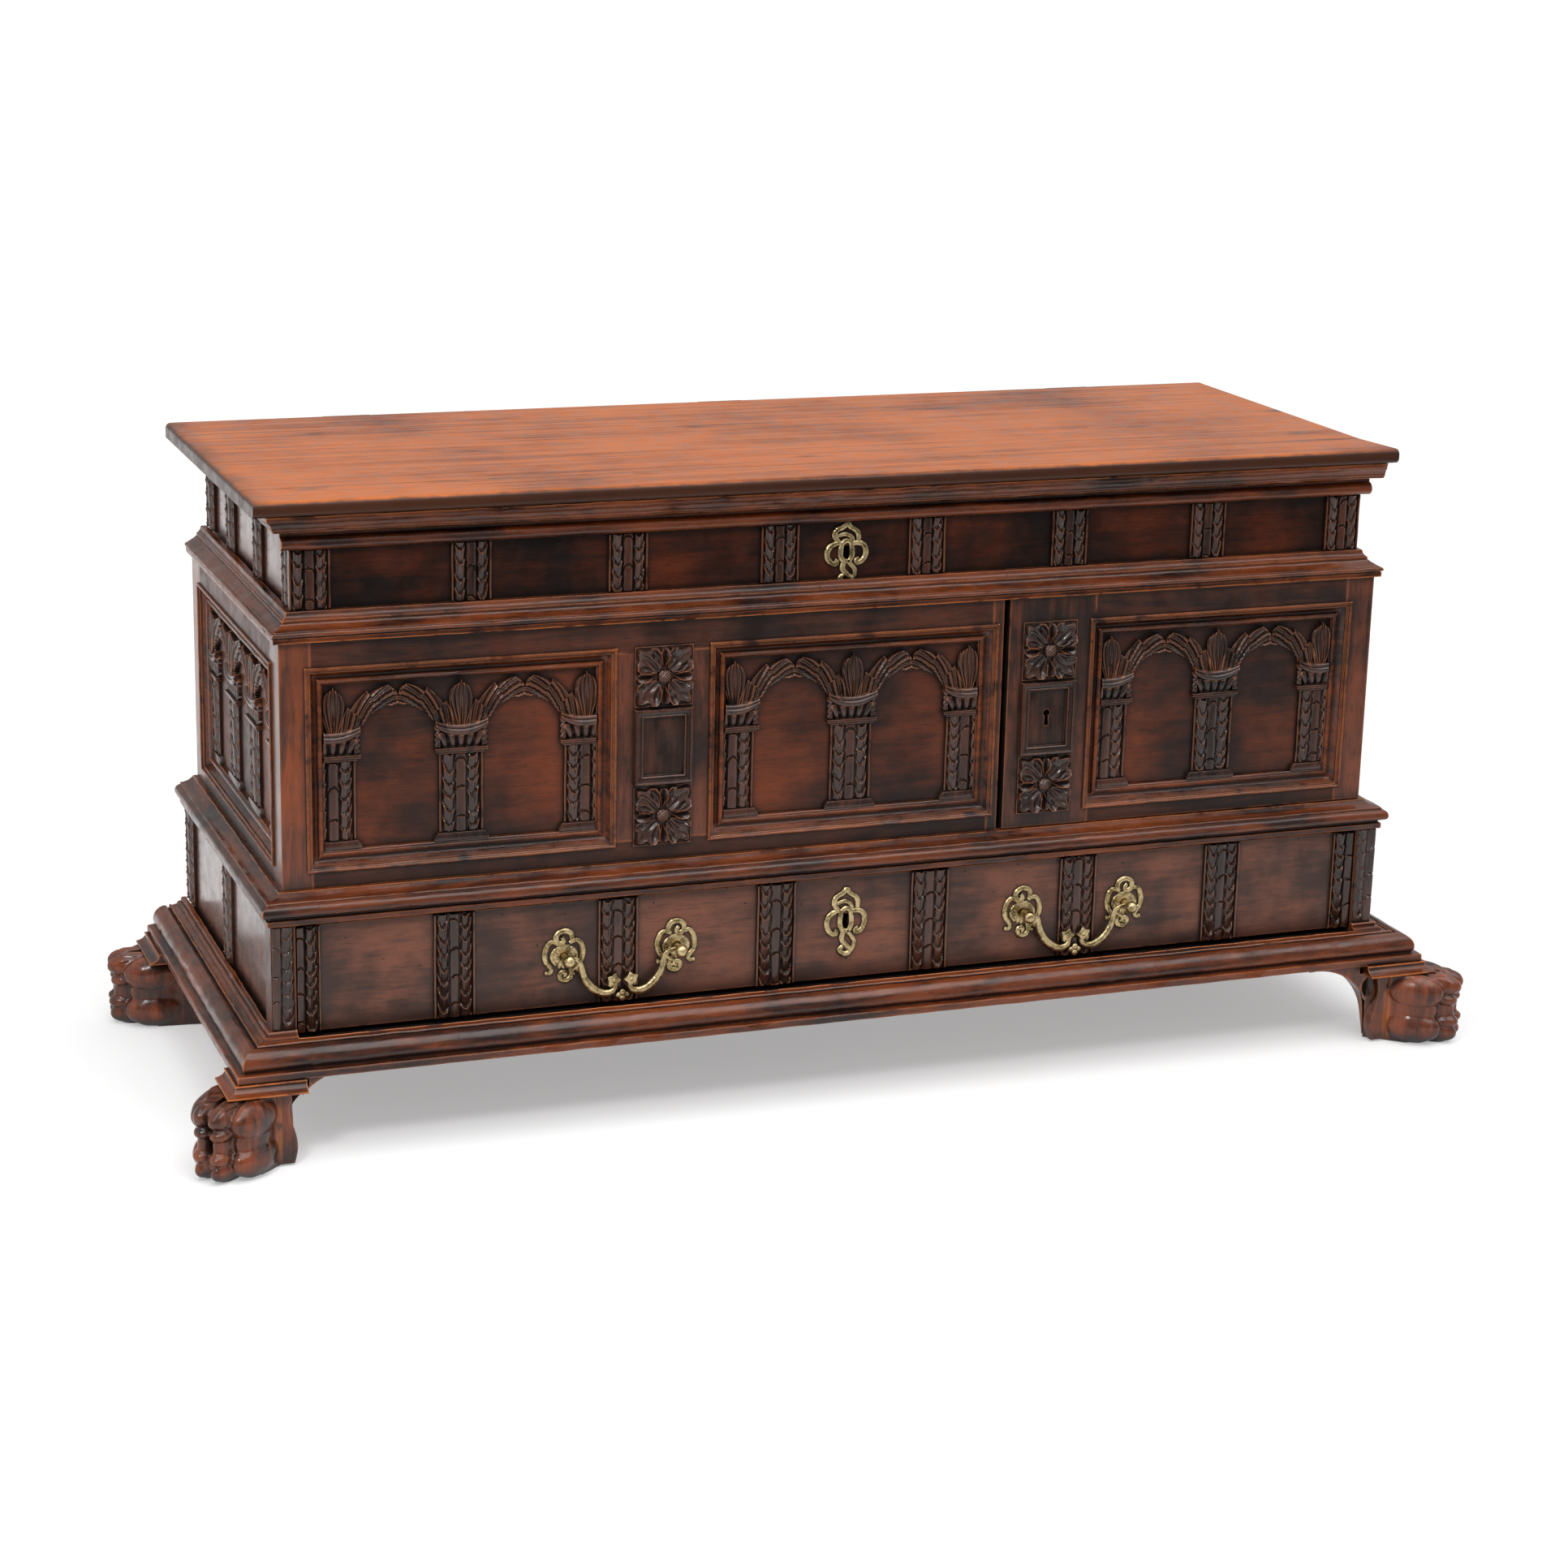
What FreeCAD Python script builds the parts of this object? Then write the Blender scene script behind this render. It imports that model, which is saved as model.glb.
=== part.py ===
import FreeCAD, Part
import math
import os
from types import SimpleNamespace
import Sketcher
from FreeCAD import Placement, Rotation, Vector

# Carved walnut chest with a lidded box, a side door and a long drawer under it.
# Origin on the floor at the centre of the footprint. +X along the front, the
# front faces -Y, +Z up. Millimetres throughout.

os.makedirs("parts", exist_ok=True)
doc = FreeCAD.newDocument("Cassone")

SIZES = [
    # Body
    ("body_wide", 1400),
    ("body_deep", 507),
    ("body_high", 292),
    ("front_thick", 28),
    ("side_thick", 30),
    ("post_deep", 38),
    ("back_thick", 18),
    ("chest_floor_thick", 18),
    # Plinth, drawer case and the mouldings between them
    ("foot_high", 105),
    ("plinth_high", 43),
    ("plinth_out", 70),
    ("plinth_torus_out", 62.5),
    ("plinth_board_thick", 20),
    ("plinth_board_rise", 9),
    ("base_high", 126),
    ("base_out", 19),
    ("base_field_out", 13),
    ("base_post_wide", 29),
    ("base_post_deep", 30),
    ("base_side_thick", 18),
    ("base_mould_high", 36),
    ("base_mould_out", 30),
    ("waist_high", 32),
    ("waist_out", 9),
    # Frieze
    ("frieze_field_high", 70),
    ("frieze_board_high", 145.6),
    ("frieze_board_thick", 22),
    ("frieze_in_front", 20),
    ("frieze_in_side", 24),
    ("bead_high", 16),
    ("bead_out", 14),
    ("bead_cap_high", 4),
    ("bead_cap_out", 10),
    ("bead_overrun", 17),
    # Lid
    ("lid_thick", 18),
    ("lid_gap", 0.4),
    ("lid_over_front", 18),
    ("lid_over_left", 29),
    ("lid_over_right", 2),
    ("lid_tip", 12),
    ("lid_front_plank", 80),
    ("lid_back_plank", 92),
    ("lid_round", 7),
    ("cornice_high", 20),
    ("cornice_out", 14),
    ("cornice_back_gap", 0.5),
    ("batten_wide", 60),
    ("batten_thick", 14),
    ("batten_inset", 330),
    # Panels
    ("panel_low", 18),
    ("panel_high", 243),
    ("muntin_wide", 114.5),
    ("panel_from_left", 29),
    ("panel_from_right", 30),
    ("side_panel_front", 38),
    ("right_panel_front", 58),
    ("side_panel_back", 42),
    ("lip", 7),
    ("mould_wide", 23),
    ("lip_high", 3.5),
    ("mould_groove", 8),
    ("sight_bead", 1),
    ("panel_sunk", 14),
    ("panel_thick", 10),
    ("tongue", 6),
    # Arcades
    ("arcade_edge", 22),
    ("arcade_thick", 6),
    ("column_wide", 52),
    ("column_base_high", 10),
    ("column_base_out", 7),
    ("column_high", 95),
    ("abacus_high", 7),
    ("abacus_out", 5),
    ("arch_ring", 25),
    ("arch_rise", 2),
    ("palmette_wide", 27),
    ("palmette_high", 45),
    ("capital_bar_high", 11),
    ("capital_bar_low", 15),
    # Reeded strips
    ("reed_proud", 4),
    ("strip_slab", 2.5),
    ("strip_edge", 4),
    ("frieze_strip_wide", 47),
    ("drawer_strip_wide", 49),
    ("half_strip_wide", 27),
    # Muntin and door plaques
    ("plaque_wide", 72),
    ("plaque_high", 73),
    ("plaque_thick", 3),
    ("petal_radius", 13),
    ("petal_high", 3),
    ("boss_radius", 8),
    ("tablet_high", 93),
    ("tablet_rim", 8),
    ("tablet_rim_high", 6),
    # Door
    ("door_gap", 7),
    ("door_thick", 26),
    ("door_proud", 2),
    ("jamb_show", 6.5),
    ("lock_stile_wide", 108),
    ("door_clear", 0.5),
    ("stop_wide", 20),
    ("stop_thick", 14),
    ("partition_thick", 14),
    # Drawer
    ("drawer_low", 7),
    ("drawer_front_high", 129),
    ("drawer_front_thick", 22),
    ("drawer_face_in", 7),
    ("drawer_side_clear", 2),
    ("drawer_wall", 12),
    ("drawer_box_deep", 430),
    ("drawer_box_high", 104),
    ("drawer_box_in", 8),
    ("drawer_bottom_thick", 8),
    ("drawer_bottom_rise", 6),
    ("drawer_run_gap", 0.3),
    ("runner_wide", 20),
    ("notch_low", 12.5),
    ("notch_deep", 11),
    # Feet
    ("foot_out", 126),
    ("rear_foot_out", 142),
    ("cap_high", 13),
    ("cap_flare", 15),
    ("cap_square", 84),
    ("outer_toe_radius", 20),
    ("outer_toe_apart", 60),
    ("outer_toe_tip", 130),
    ("middle_toe_radius", 15),
    ("middle_toe_apart", 24),
    ("middle_toe_tip", 166),
    ("claw_back", 14),
    ("heel_wide", 78),
    ("heel_near", 34),
    ("heel_far", 100),
    ("rear_paw_in", 52),
    ("bracket_thick", 24),
    ("bracket_in", 9),
    ("bracket_run_left", 40),
    ("bracket_run_right", 96),
    ("bracket_foot", 62),
    ("bracket_foot_wide", 53),
    # Locks and keyholes
    ("key_wide", 9),
    ("key_high", 24),
    ("lock_wide", 72),
    ("lock_high", 60),
    ("lock_deep", 15),
    ("lock_wall", 2),
    ("bolt_wide", 30),
    ("bolt_high", 10),
    ("bolt_thick", 5),
    ("bolt_travel", 12),
    ("bolt_clear", 0.5),
    ("spring_thick", 1.2),
    ("lid_lock_high", 106),
    ("drawer_lock_high", 80),
    ("spring_gap", 0.3),
    ("staple_wide", 8),
    ("staple_long", 30),
    ("staple_wall", 2),
    ("staple_clear", 2),
    ("staple_eye", 13),
    ("key_shift", 9),
    ("lid_key_level", 28),
    ("drawer_key_level", 70),
    # Brasses
    ("plate_thick", 1.6),
    ("scutcheon_wide", 57),
    ("scutcheon_high", 87),
    ("lid_scutcheon_wide", 54),
    ("lid_scutcheon_high", 75),
    ("plate_clear", 0.3),
    ("rose_wide", 50),
    ("rose_high", 64),
    ("bore_apart", 140),
    ("handle_level", 62),
    ("post_radius", 4.5),
    ("post_eye_out", 11),
    ("knob_radius", 8),
    ("knob_out", 22),
    ("nut_radius", 8),
    ("nut_thick", 4),
    ("bail_rod", 3.4),
    ("bail_pin", 1.95),
    ("bail_bore", 2),
    ("bail_drop", 56),
    ("bail_bend", 8),
    ("bail_gap", 0.3),
    ("leaf_long", 12),
    # Hinges
    ("knuckle_r", 4.5),
    ("hinge_pin", 2),
    ("pin_clear", 0.05),
    ("hinge_wide", 60),
    ("lid_hinge_leaf", 40),
    ("door_hinge_leaf", 28),
    ("leaf_thick", 2),
    ("lid_hinge_apart", 500),
    ("door_hinge_inset", 50),
    ("knuckle_gap", 0.4),
    ("overrun", 5),
]
OUTLINE_SHARES = {
    # Rococo plate outlines as shares of half the width and half the height.
    "scutcheon": [(0, 1), (0.34, 0.84), (0.5, 0.62), (0.72, 0.5), (0.78, 0.3), (1, 0.1),
                  (0.94, -0.22), (0.66, -0.46), (0.4, -0.42), (0.3, -0.62), (0.3, -0.88),
                  (0, -1)],
    "rose": [(0, 1), (0.42, 0.86), (0.56, 0.56), (0.92, 0.4), (1, 0), (0.9, -0.38),
             (0.52, -0.42), (0.5, -0.66), (0.26, -0.8), (0, -1)],
}
SIDE_STRIP_SHARES = [0, 0.36, 0.72, 1]
FRONT_PANEL_SHARE = 0.335746606
HANDLE_SHARE = 0.212142857
BAIL_SHARES = [(0.81, 0), (0.74, 0.36), (0.49, 0.91), (0.2, 1), (0, 0.9)]
BAIL_BEND_SHARES = [0.6, 1.8, 1.5, 0.9, 0.8]
PIERCING_SHARES = {
    # Centre and radius of each piercing, as shares of half the width.
    "scutcheon": [(0, 0.95, 0.2), (0.6, 0.12, 0.2)],
    "rose": [(0, 0.78, 0.24), (0.62, 0.08, 0.22)],
}

sheet = doc.addObject("Spreadsheet::Sheet", "Sizes")
for row, (alias, value) in enumerate(SIZES, 1):
    sheet.set("A%d" % row, alias)
    sheet.set("B%d" % row, str(value))
    sheet.setAlias("B%d" % row, alias)
doc.recompute()


class Size:
    """A length that carries its value and the sheet formula that gives it."""

    def __init__(self, formula, value):
        self.formula = formula
        self.value = float(value)

    def __add__(self, other):
        other = as_size(other)
        return Size("(%s + %s)" % (self.formula, other.formula), self.value + other.value)

    def __sub__(self, other):
        other = as_size(other)
        return Size("(%s - %s)" % (self.formula, other.formula), self.value - other.value)

    def __mul__(self, other):
        other = as_size(other)
        return Size("(%s * %s)" % (self.formula, other.formula), self.value * other.value)

    def __truediv__(self, other):
        other = as_size(other)
        return Size("(%s / %s)" % (self.formula, other.formula), self.value / other.value)

    def __neg__(self):
        return Size("(0 - %s)" % self.formula, -self.value)

    __radd__ = __add__
    __rmul__ = __mul__

    def __rsub__(self, other):
        return as_size(other) - self


def as_size(number):
    if isinstance(number, Size):
        return number
    return Size(repr(float(number)), number)


s = SimpleNamespace(**{alias: Size("Sizes." + alias, sheet.get(alias)) for alias, _ in SIZES})
nodes = {}


def bind(thing, **values):
    for name, size in values.items():
        thing.setExpression(name.replace("__", "."), as_size(size).formula)
    return thing


def put(thing, x=0, y=0, z=0):
    return bind(thing, Placement__Base__x=x, Placement__Base__y=y, Placement__Base__z=z)


def box(name, xs, ys, zs):
    block = doc.addObject("Part::Box", name)
    bind(block, Length=as_size(xs[1]) - xs[0], Width=as_size(ys[1]) - ys[0],
         Height=as_size(zs[1]) - zs[0])
    return put(block, xs[0], ys[0], zs[0])


TURNS = {
    "X": Rotation(Vector(0, 1, 0), 90),
    "Y": Rotation(Vector(1, 0, 0), -90),
    "Z": Rotation(),
}


def rod(name, axis, radius, length, x, y, z):
    """A round bar that starts at x, y, z and runs along +axis."""
    bar = doc.addObject("Part::Cylinder", name)
    bind(bar, Radius=radius, Height=length)
    bar.Placement = Placement(Vector(), TURNS[axis])
    return put(bar, x, y, z)


def ball(name, radius, x, y, z):
    return put(bind(doc.addObject("Part::Sphere", name), Radius=radius), x, y, z)


def fuse(name, pieces):
    joined = doc.addObject("Part::MultiFuse", name)
    joined.Shapes = pieces
    joined.Refine = True
    return joined


def cut(name, base, tools):
    for number, tool in enumerate(tools):
        less = doc.addObject("Part::Cut", "%s_%d" % (name, number))
        less.Base = base
        less.Tool = tool
        base = less
    return base


def overlap(name, base, tool):
    common = doc.addObject("Part::Common", name)
    common.Base = base
    common.Tool = tool
    return common


def group(name, pieces, x=0, y=0, z=0, turn=0, axis=(0, 0, 1)):
    """Separate solids kept side by side, which may be moved and turned as one."""
    held = doc.addObject("Part::Compound", name)
    held.Links = pieces
    held.Placement = Placement(Vector(), Rotation(Vector(*axis), turn))
    return put(held, x, y, z)


def mirrored(name, source, normal=(1, 0, 0), at=0):
    other = doc.addObject("Part::Mirroring", name)
    other.Source = source
    other.Normal = Vector(*normal)
    axis = "xyz"[normal.index(1)]
    other.setExpression("Base." + axis, as_size(at).formula)
    return other


def node(label, pieces):
    whole = pieces[0] if len(pieces) == 1 else group(label + "_set", pieces)
    whole.Label = label
    nodes[label] = whole
    return whole


def origin_plane(body, role):
    return [feature for feature in body.Origin.OriginFeatures if feature.Role == role][0]


def sketch(body, name, role, points, offset=0):
    """A closed outline on one of the body's own origin planes.

    Each point is (across, up), or (across, up, across, up) for an arc through
    the first pair that ends at the second.
    """
    drawn = body.newObject("Sketcher::SketchObject", name)
    drawn.AttachmentSupport = (origin_plane(body, role), [""])
    drawn.MapMode = "FlatFace"
    bind(drawn, AttachmentOffset__Base__z=offset)
    ends = [(as_size(point[-2]), as_size(point[-1])) for point in points]
    flat = [Vector(across.value, up.value, 0) for across, up in ends]
    edges = []
    for number, point in enumerate(points):
        start = flat[number - 1]
        end = flat[number]
        if len(point) == 4:
            middle = Vector(as_size(point[0]).value, as_size(point[1]).value, 0)
            edge = drawn.addGeometry(Part.Arc(start, middle, end), False)
            turned = (start - middle).cross(end - middle).z > 0
            edges.append((edge, 2 if turned else 1, 1 if turned else 2, point))
        else:
            edges.append((drawn.addGeometry(Part.LineSegment(start, end), False), 1, 2, point))
    for number, (edge, first, last, point) in enumerate(edges):
        before = edges[number - 1]
        drawn.addConstraint(Sketcher.Constraint("Coincident", before[0], before[2], edge, first))
        across, up = ends[number]
        fix_point(drawn, edge, last, across, up)
        if len(point) == 4:
            mark = drawn.addGeometry(Part.Point(Vector(as_size(point[0]).value,
                                                       as_size(point[1]).value, 0)), True)
            fix_point(drawn, mark, 1, as_size(point[0]), as_size(point[1]))
            drawn.addConstraint(Sketcher.Constraint("PointOnObject", mark, 1, edge))
    return drawn


def fix_point(drawn, edge, end, across, up):
    for kind, size in (("DistanceX", across), ("DistanceY", up)):
        rule = drawn.addConstraint(Sketcher.Constraint(kind, -1, 1, edge, end, size.value))
        drawn.setExpression("Constraints[%d]" % rule, size.formula)


def pad(body, outline, length, midplane=False):
    feature = body.newObject("PartDesign::Pad", outline.Name + "_pad")
    feature.Profile = outline
    bind(feature, Length=length)
    feature.Midplane = midplane
    return feature


def pocket(body, outline, length):
    feature = body.newObject("PartDesign::Pocket", outline.Name + "_pocket")
    feature.Profile = outline
    bind(feature, Length=length)
    feature.Midplane = True
    return feature


def new_body(name):
    return doc.addObject("PartDesign::Body", name)


# Main planes and levels, worked out from the sizes above.
half = s.body_wide / 2
front = (s.foot_out - s.body_deep - s.knuckle_r * 2) / 2
back = front + s.body_deep
plinth_z = s.foot_high
base_z = plinth_z + s.plinth_high
deck_z = base_z + s.base_high
frame_z = deck_z + s.chest_floor_thick
body_z = deck_z + s.base_mould_high
waist_z = body_z + s.body_high
frieze_z = waist_z + s.waist_high
bead_z = frieze_z + s.frieze_field_high
board_top_z = waist_z + s.frieze_board_high
lid_z = board_top_z + s.lid_gap
top_z = lid_z + s.lid_thick
panel_z = body_z + s.panel_low
panel_top_z = panel_z + s.panel_high
panel_mid_z = panel_z + s.panel_high / 2
# The two fixed panels and the door's panel share what the posts, muntin and stiles leave.
panels_wide = (s.body_wide - s.panel_from_left - s.muntin_wide - s.jamb_show - s.door_gap
               - s.lock_stile_wide - s.panel_from_right)
front_panel_wide = panels_wide * FRONT_PANEL_SHARE
door_panel_wide = panels_wide - front_panel_wide * 2
left_panel_x = s.panel_from_left + front_panel_wide / 2 - half
centre_panel_x = left_panel_x + front_panel_wide + s.muntin_wide
door_panel_x = half - s.panel_from_right - door_panel_wide / 2
door_left = door_panel_x - door_panel_wide / 2 - s.lock_stile_wide
jamb_x = door_left - s.door_gap
handle_x = s.body_wide * HANDLE_SHARE


# Mouldings round the front and the two sides, mitred at the front corners.
def run_of_moulding(name, profile, front_in, side_in, z, right_end=None, both=True):
    """profile: points of (projection beyond the body, height above z)."""
    reach = s.plinth_out + s.foot_out
    far = half + reach
    start_x = -far
    end_x = far if right_end is None else right_end
    length = end_x - start_x
    ahead = new_body(name + "_front")
    across = [tuple(front - n if k % 2 == 0 else z + n for k, n in enumerate(point))
              for point in profile(front_in)]
    pad(ahead, sketch(ahead, name + "_front_outline", "YZ_Plane", across,
                      start_x + length / 2), length, True)
    inside = s.side_thick + s.frieze_board_thick
    corner = [(-half - reach, front - reach), (inside - half, front + inside),
              (-half - reach * 2, front + inside), (-half - reach * 2, front - reach)]
    pocket(ahead, sketch(ahead, name + "_front_mitre", "XY_Plane", corner), top_z * 2)
    if right_end is None:
        corner = [(half + reach, front - reach), (half + reach * 2, front - reach),
                  (half + reach * 2, front + inside), (half - inside, front + inside)]
        pocket(ahead, sketch(ahead, name + "_front_other_mitre", "XY_Plane", corner), top_z * 2)
    beside = new_body(name + "_left")
    across = [tuple(-half - n if k % 2 == 0 else z + n for k, n in enumerate(point))
              for point in profile(side_in)]
    side_from = front - reach
    side_long = back - side_from
    pad(beside, sketch(beside, name + "_left_outline", "XZ_Plane", across,
                       -(side_from + side_long / 2)), side_long, True)
    corner = [(-half - reach, front - reach), (inside - half, front + inside),
              (inside - half, front - reach * 2), (-half - reach * 2, front - reach * 2),
              (-half - reach * 2, front - reach)]
    pocket(beside, sketch(beside, name + "_left_mitre", "XY_Plane", corner), top_z * 2)
    if both:
        return [ahead, beside, mirrored(name + "_right", beside)]
    return [ahead, beside]


def plinth_profile(inset):
    out = s.plinth_out
    high = s.plinth_high
    torus = s.plinth_torus_out
    base = s.base_out
    return [(base, 0), (out, 0), (out, high * 0.21), (out - high * 0.14, high * 0.25),
            (torus - high * 0.1, high * 0.26),
            (torus, high * 0.47, torus - high * 0.13, high * 0.67),
            (torus - high * 0.27, high * 0.7), (torus - high * 0.27, high * 0.75),
            (torus - high * 0.45, high * 0.77, torus - high * 0.6, high * 0.8),
            (base + high * 0.12, high * 0.82), (base + high * 0.12, high), (base, high)]


def base_profile(inset):
    out = s.base_mould_out
    high = s.base_mould_high
    return [(0, 0), (out - high * 0.19, 0), (out - high * 0.19, high * 0.2),
            (out - high * 0.28, high * 0.23), (out - high * 0.28, high * 0.31),
            (out - high * 0.08, high * 0.33),
            (out, high * 0.5, out - high * 0.1, high * 0.68),
            (out - high * 0.2, high * 0.7), (out - high * 0.2, high * 0.77),
            (out - high * 0.52, high * 0.82, out - high * 0.66, high * 0.9),
            (out - high * 0.66, high), (0, high)]


def waist_profile(inset):
    out = s.waist_out
    high = s.waist_high
    return [(-inset, 0), (out - high * 0.06, 0), (out - high * 0.06, high * 0.17),
            (out, high * 0.26, out - high * 0.06, high * 0.34),
            (out - high * 0.3, high * 0.44, out - high * 0.45, high * 0.6),
            (out - high * 0.52, high * 0.62), (out - high * 0.52, high * 0.75),
            (out - high * 0.64, high * 0.78), (out - high * 0.64, high), (-inset, high)]


def cornice_profile(inset):
    out = s.cornice_out
    high = s.cornice_high
    behind = s.cornice_back_gap - inset
    return [(behind, 0), (out - high * 0.5, 0), (out - high * 0.4, high * 0.1),
            (out - high * 0.36, high * 0.3, out - high * 0.15, high * 0.5),
            (out - high * 0.15, high * 0.66), (out, high * 0.7), (out, high), (behind, high)]


plinth_runs = run_of_moulding("plinth", plinth_profile, 0, 0, plinth_z)
notch = box("drawer_notch", (-half - s.base_out + s.base_post_wide,
                             half + s.base_out - s.base_post_wide),
            (front - s.base_out - s.notch_deep, front + s.overrun),
            (base_z - s.notch_low, base_z + s.overrun))
plinth_runs[0] = cut("plinth_front_notched", plinth_runs[0], [notch])
node("plinth_moulding", plinth_runs)
node("base_moulding", run_of_moulding("base_mould", base_profile, 0, 0, deck_z))
board_x = half - s.frieze_in_side
board_y = front + s.frieze_in_front
key_x = -s.key_shift
lid_key_z = frieze_z + s.lid_key_level
waist_runs = run_of_moulding("waist", waist_profile, s.frieze_in_front, s.frieze_in_side,
                             waist_z)
plate_low = bead_z - s.plate_clear - s.lid_scutcheon_high
tail_half = s.lid_scutcheon_wide * 0.17 + s.plate_clear
tail_notch = box("tail_notch", (key_x - tail_half, key_x + tail_half),
                 (board_y - s.plate_thick - s.plate_clear, board_y + s.overrun),
                 (plate_low - s.plate_clear, frieze_z + s.overrun))
waist_runs[0] = cut("waist_front_notched", waist_runs[0], [tail_notch])
node("waist_moulding", waist_runs)
node("lid_cornice", run_of_moulding("cornice", cornice_profile, s.frieze_in_front,
                                    s.frieze_in_side, lid_z - s.cornice_high,
                                    right_end=half + s.lid_over_right, both=False))


# A three-reeded strip, standing from z = 0 with its back on y = 0.
def reeded_strip(name, wide, high, reeds=3, slab=s.strip_slab):
    reed = (wide - s.strip_edge * 2) / reeds
    start = reed * reeds / -2
    points = [(wide / 2, 0), (wide / -2, 0), (wide / -2, -slab), (start, -slab)]
    for number in range(reeds):
        points.append((start + reed * (number + 0.5), -slab - s.reed_proud,
                       start + reed * (number + 1), -slab))
    points.append((wide / 2, -slab))
    body = new_body(name)
    pad(body, sketch(body, name + "_outline", "XY_Plane", points), high)
    return body


# Frieze: boards, reeded strips and the half-round bead along the front.
def keyhole(name, x, y0, y1, z):
    """Cutting tool for a key slot, x at its middle and z at its middle."""
    return box(name, (x - s.key_wide / 2, x + s.key_wide / 2), (y0, y1),
               (z - s.key_high / 2, z + s.key_high / 2))


front_board = box("frieze_front", (-board_x, board_x),
                  (board_y, board_y + s.frieze_board_thick), (waist_z, board_top_z))
slot = keyhole("frieze_key_slot", key_x, board_y - s.overrun,
               board_y + s.frieze_board_thick + s.overrun, lid_key_z)
node("frieze_front_board", [cut("frieze_front_keyed", front_board, [slot])])
side_board = box("frieze_side", (-board_x, s.frieze_board_thick - board_x),
                 (board_y + s.frieze_board_thick, back), (waist_z, board_top_z))
node("frieze_side_boards", [side_board, mirrored("frieze_side_right", side_board)])

frieze_strip = reeded_strip("frieze_strip", s.frieze_strip_wide, s.frieze_field_high)
strip_proud = s.strip_slab + s.reed_proud
last_strip_x = board_x + strip_proud - s.frieze_strip_wide / 2
strips = [group("frieze_strip_%d" % number, [frieze_strip],
                last_strip_x * (number * 2 - 7) / 7, board_y, frieze_z)
          for number in range(8)]
first_side_y = board_y + s.frieze_strip_wide / 2
last_side_y = back - s.frieze_strip_wide / 2
for number, share in enumerate(SIDE_STRIP_SHARES):
    for side, turn in ((-1, -90), (1, 90)):
        strips.append(group("frieze_side_strip_%d_%d" % (number, side + 1), [frieze_strip],
                            board_x * side,
                            first_side_y + (last_side_y - first_side_y) * share, frieze_z,
                            turn))
node("frieze_pilasters", strips)

bead = new_body("bead_body")
bead_top = bead_z + s.bead_high
pad(bead, sketch(bead, "bead_outline", "YZ_Plane", [
    (board_y, bead_z), (board_y - s.bead_out / 2, bead_z),
    (board_y - s.bead_out, bead_z + s.bead_high / 2, board_y - s.bead_out / 2, bead_top),
    (board_y - s.bead_cap_out, bead_top),
    (board_y - s.bead_cap_out, bead_top + s.bead_cap_high),
    (board_y, bead_top + s.bead_cap_high)]),
    (board_x + s.bead_overrun) * 2, True)
node("frieze_bead", [bead])


# Panel mouldings: four mitred lengths that lap the frame and seat on the panel.
# Local frame: y = 0 is the face of the framework, the opening's middle is the origin.
def panel_moulding(name, wide, high):
    step = s.mould_wide
    sections = []
    for turn, long, across in ((0, wide, high), (90, high, wide)):
        low = across / -2
        outline = [(s.panel_sunk, low + s.lip), (0, low + s.lip), (0, low),
                   (s.lip_high * -0.6, low),
                   (-s.lip_high, low + s.lip * 0.55, s.lip_high * -0.5, low + s.lip * 1.18),
                   (s.mould_groove * 0.85, low + step * 0.5,
                    s.mould_groove, low + step * 0.66),
                   (s.mould_groove * 0.35, low + step * 0.72),
                   (-s.sight_bead, low + step * 0.86, s.mould_groove * 0.35, low + step),
                   (s.panel_sunk, low + step)]
        rail = new_body("%s_%d" % (name, turn))
        pad(rail, sketch(rail, "%s_outline_%d" % (name, turn), "YZ_Plane", outline), long, True)
        deep = s.panel_sunk * 2 + s.mould_wide
        for side in (-1, 1):
            edge = long / 2 * side
            triangle = [(edge, low), (edge - s.mould_wide * 2 * side, low + s.mould_wide * 2),
                        (edge + s.overrun * side, low + s.mould_wide * 2),
                        (edge + s.overrun * side, low)]
            pocket(rail, sketch(rail, "%s_mitre_%d_%d" % (name, turn, side + 1), "XZ_Plane",
                                triangle), deep)
        sections.append(group("%s_a_%d" % (name, turn), [rail], turn=turn, axis=(0, 1, 0)))
        sections.append(group("%s_b_%d" % (name, turn), [rail], turn=turn + 180,
                              axis=(0, 1, 0)))
    return sections


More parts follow.
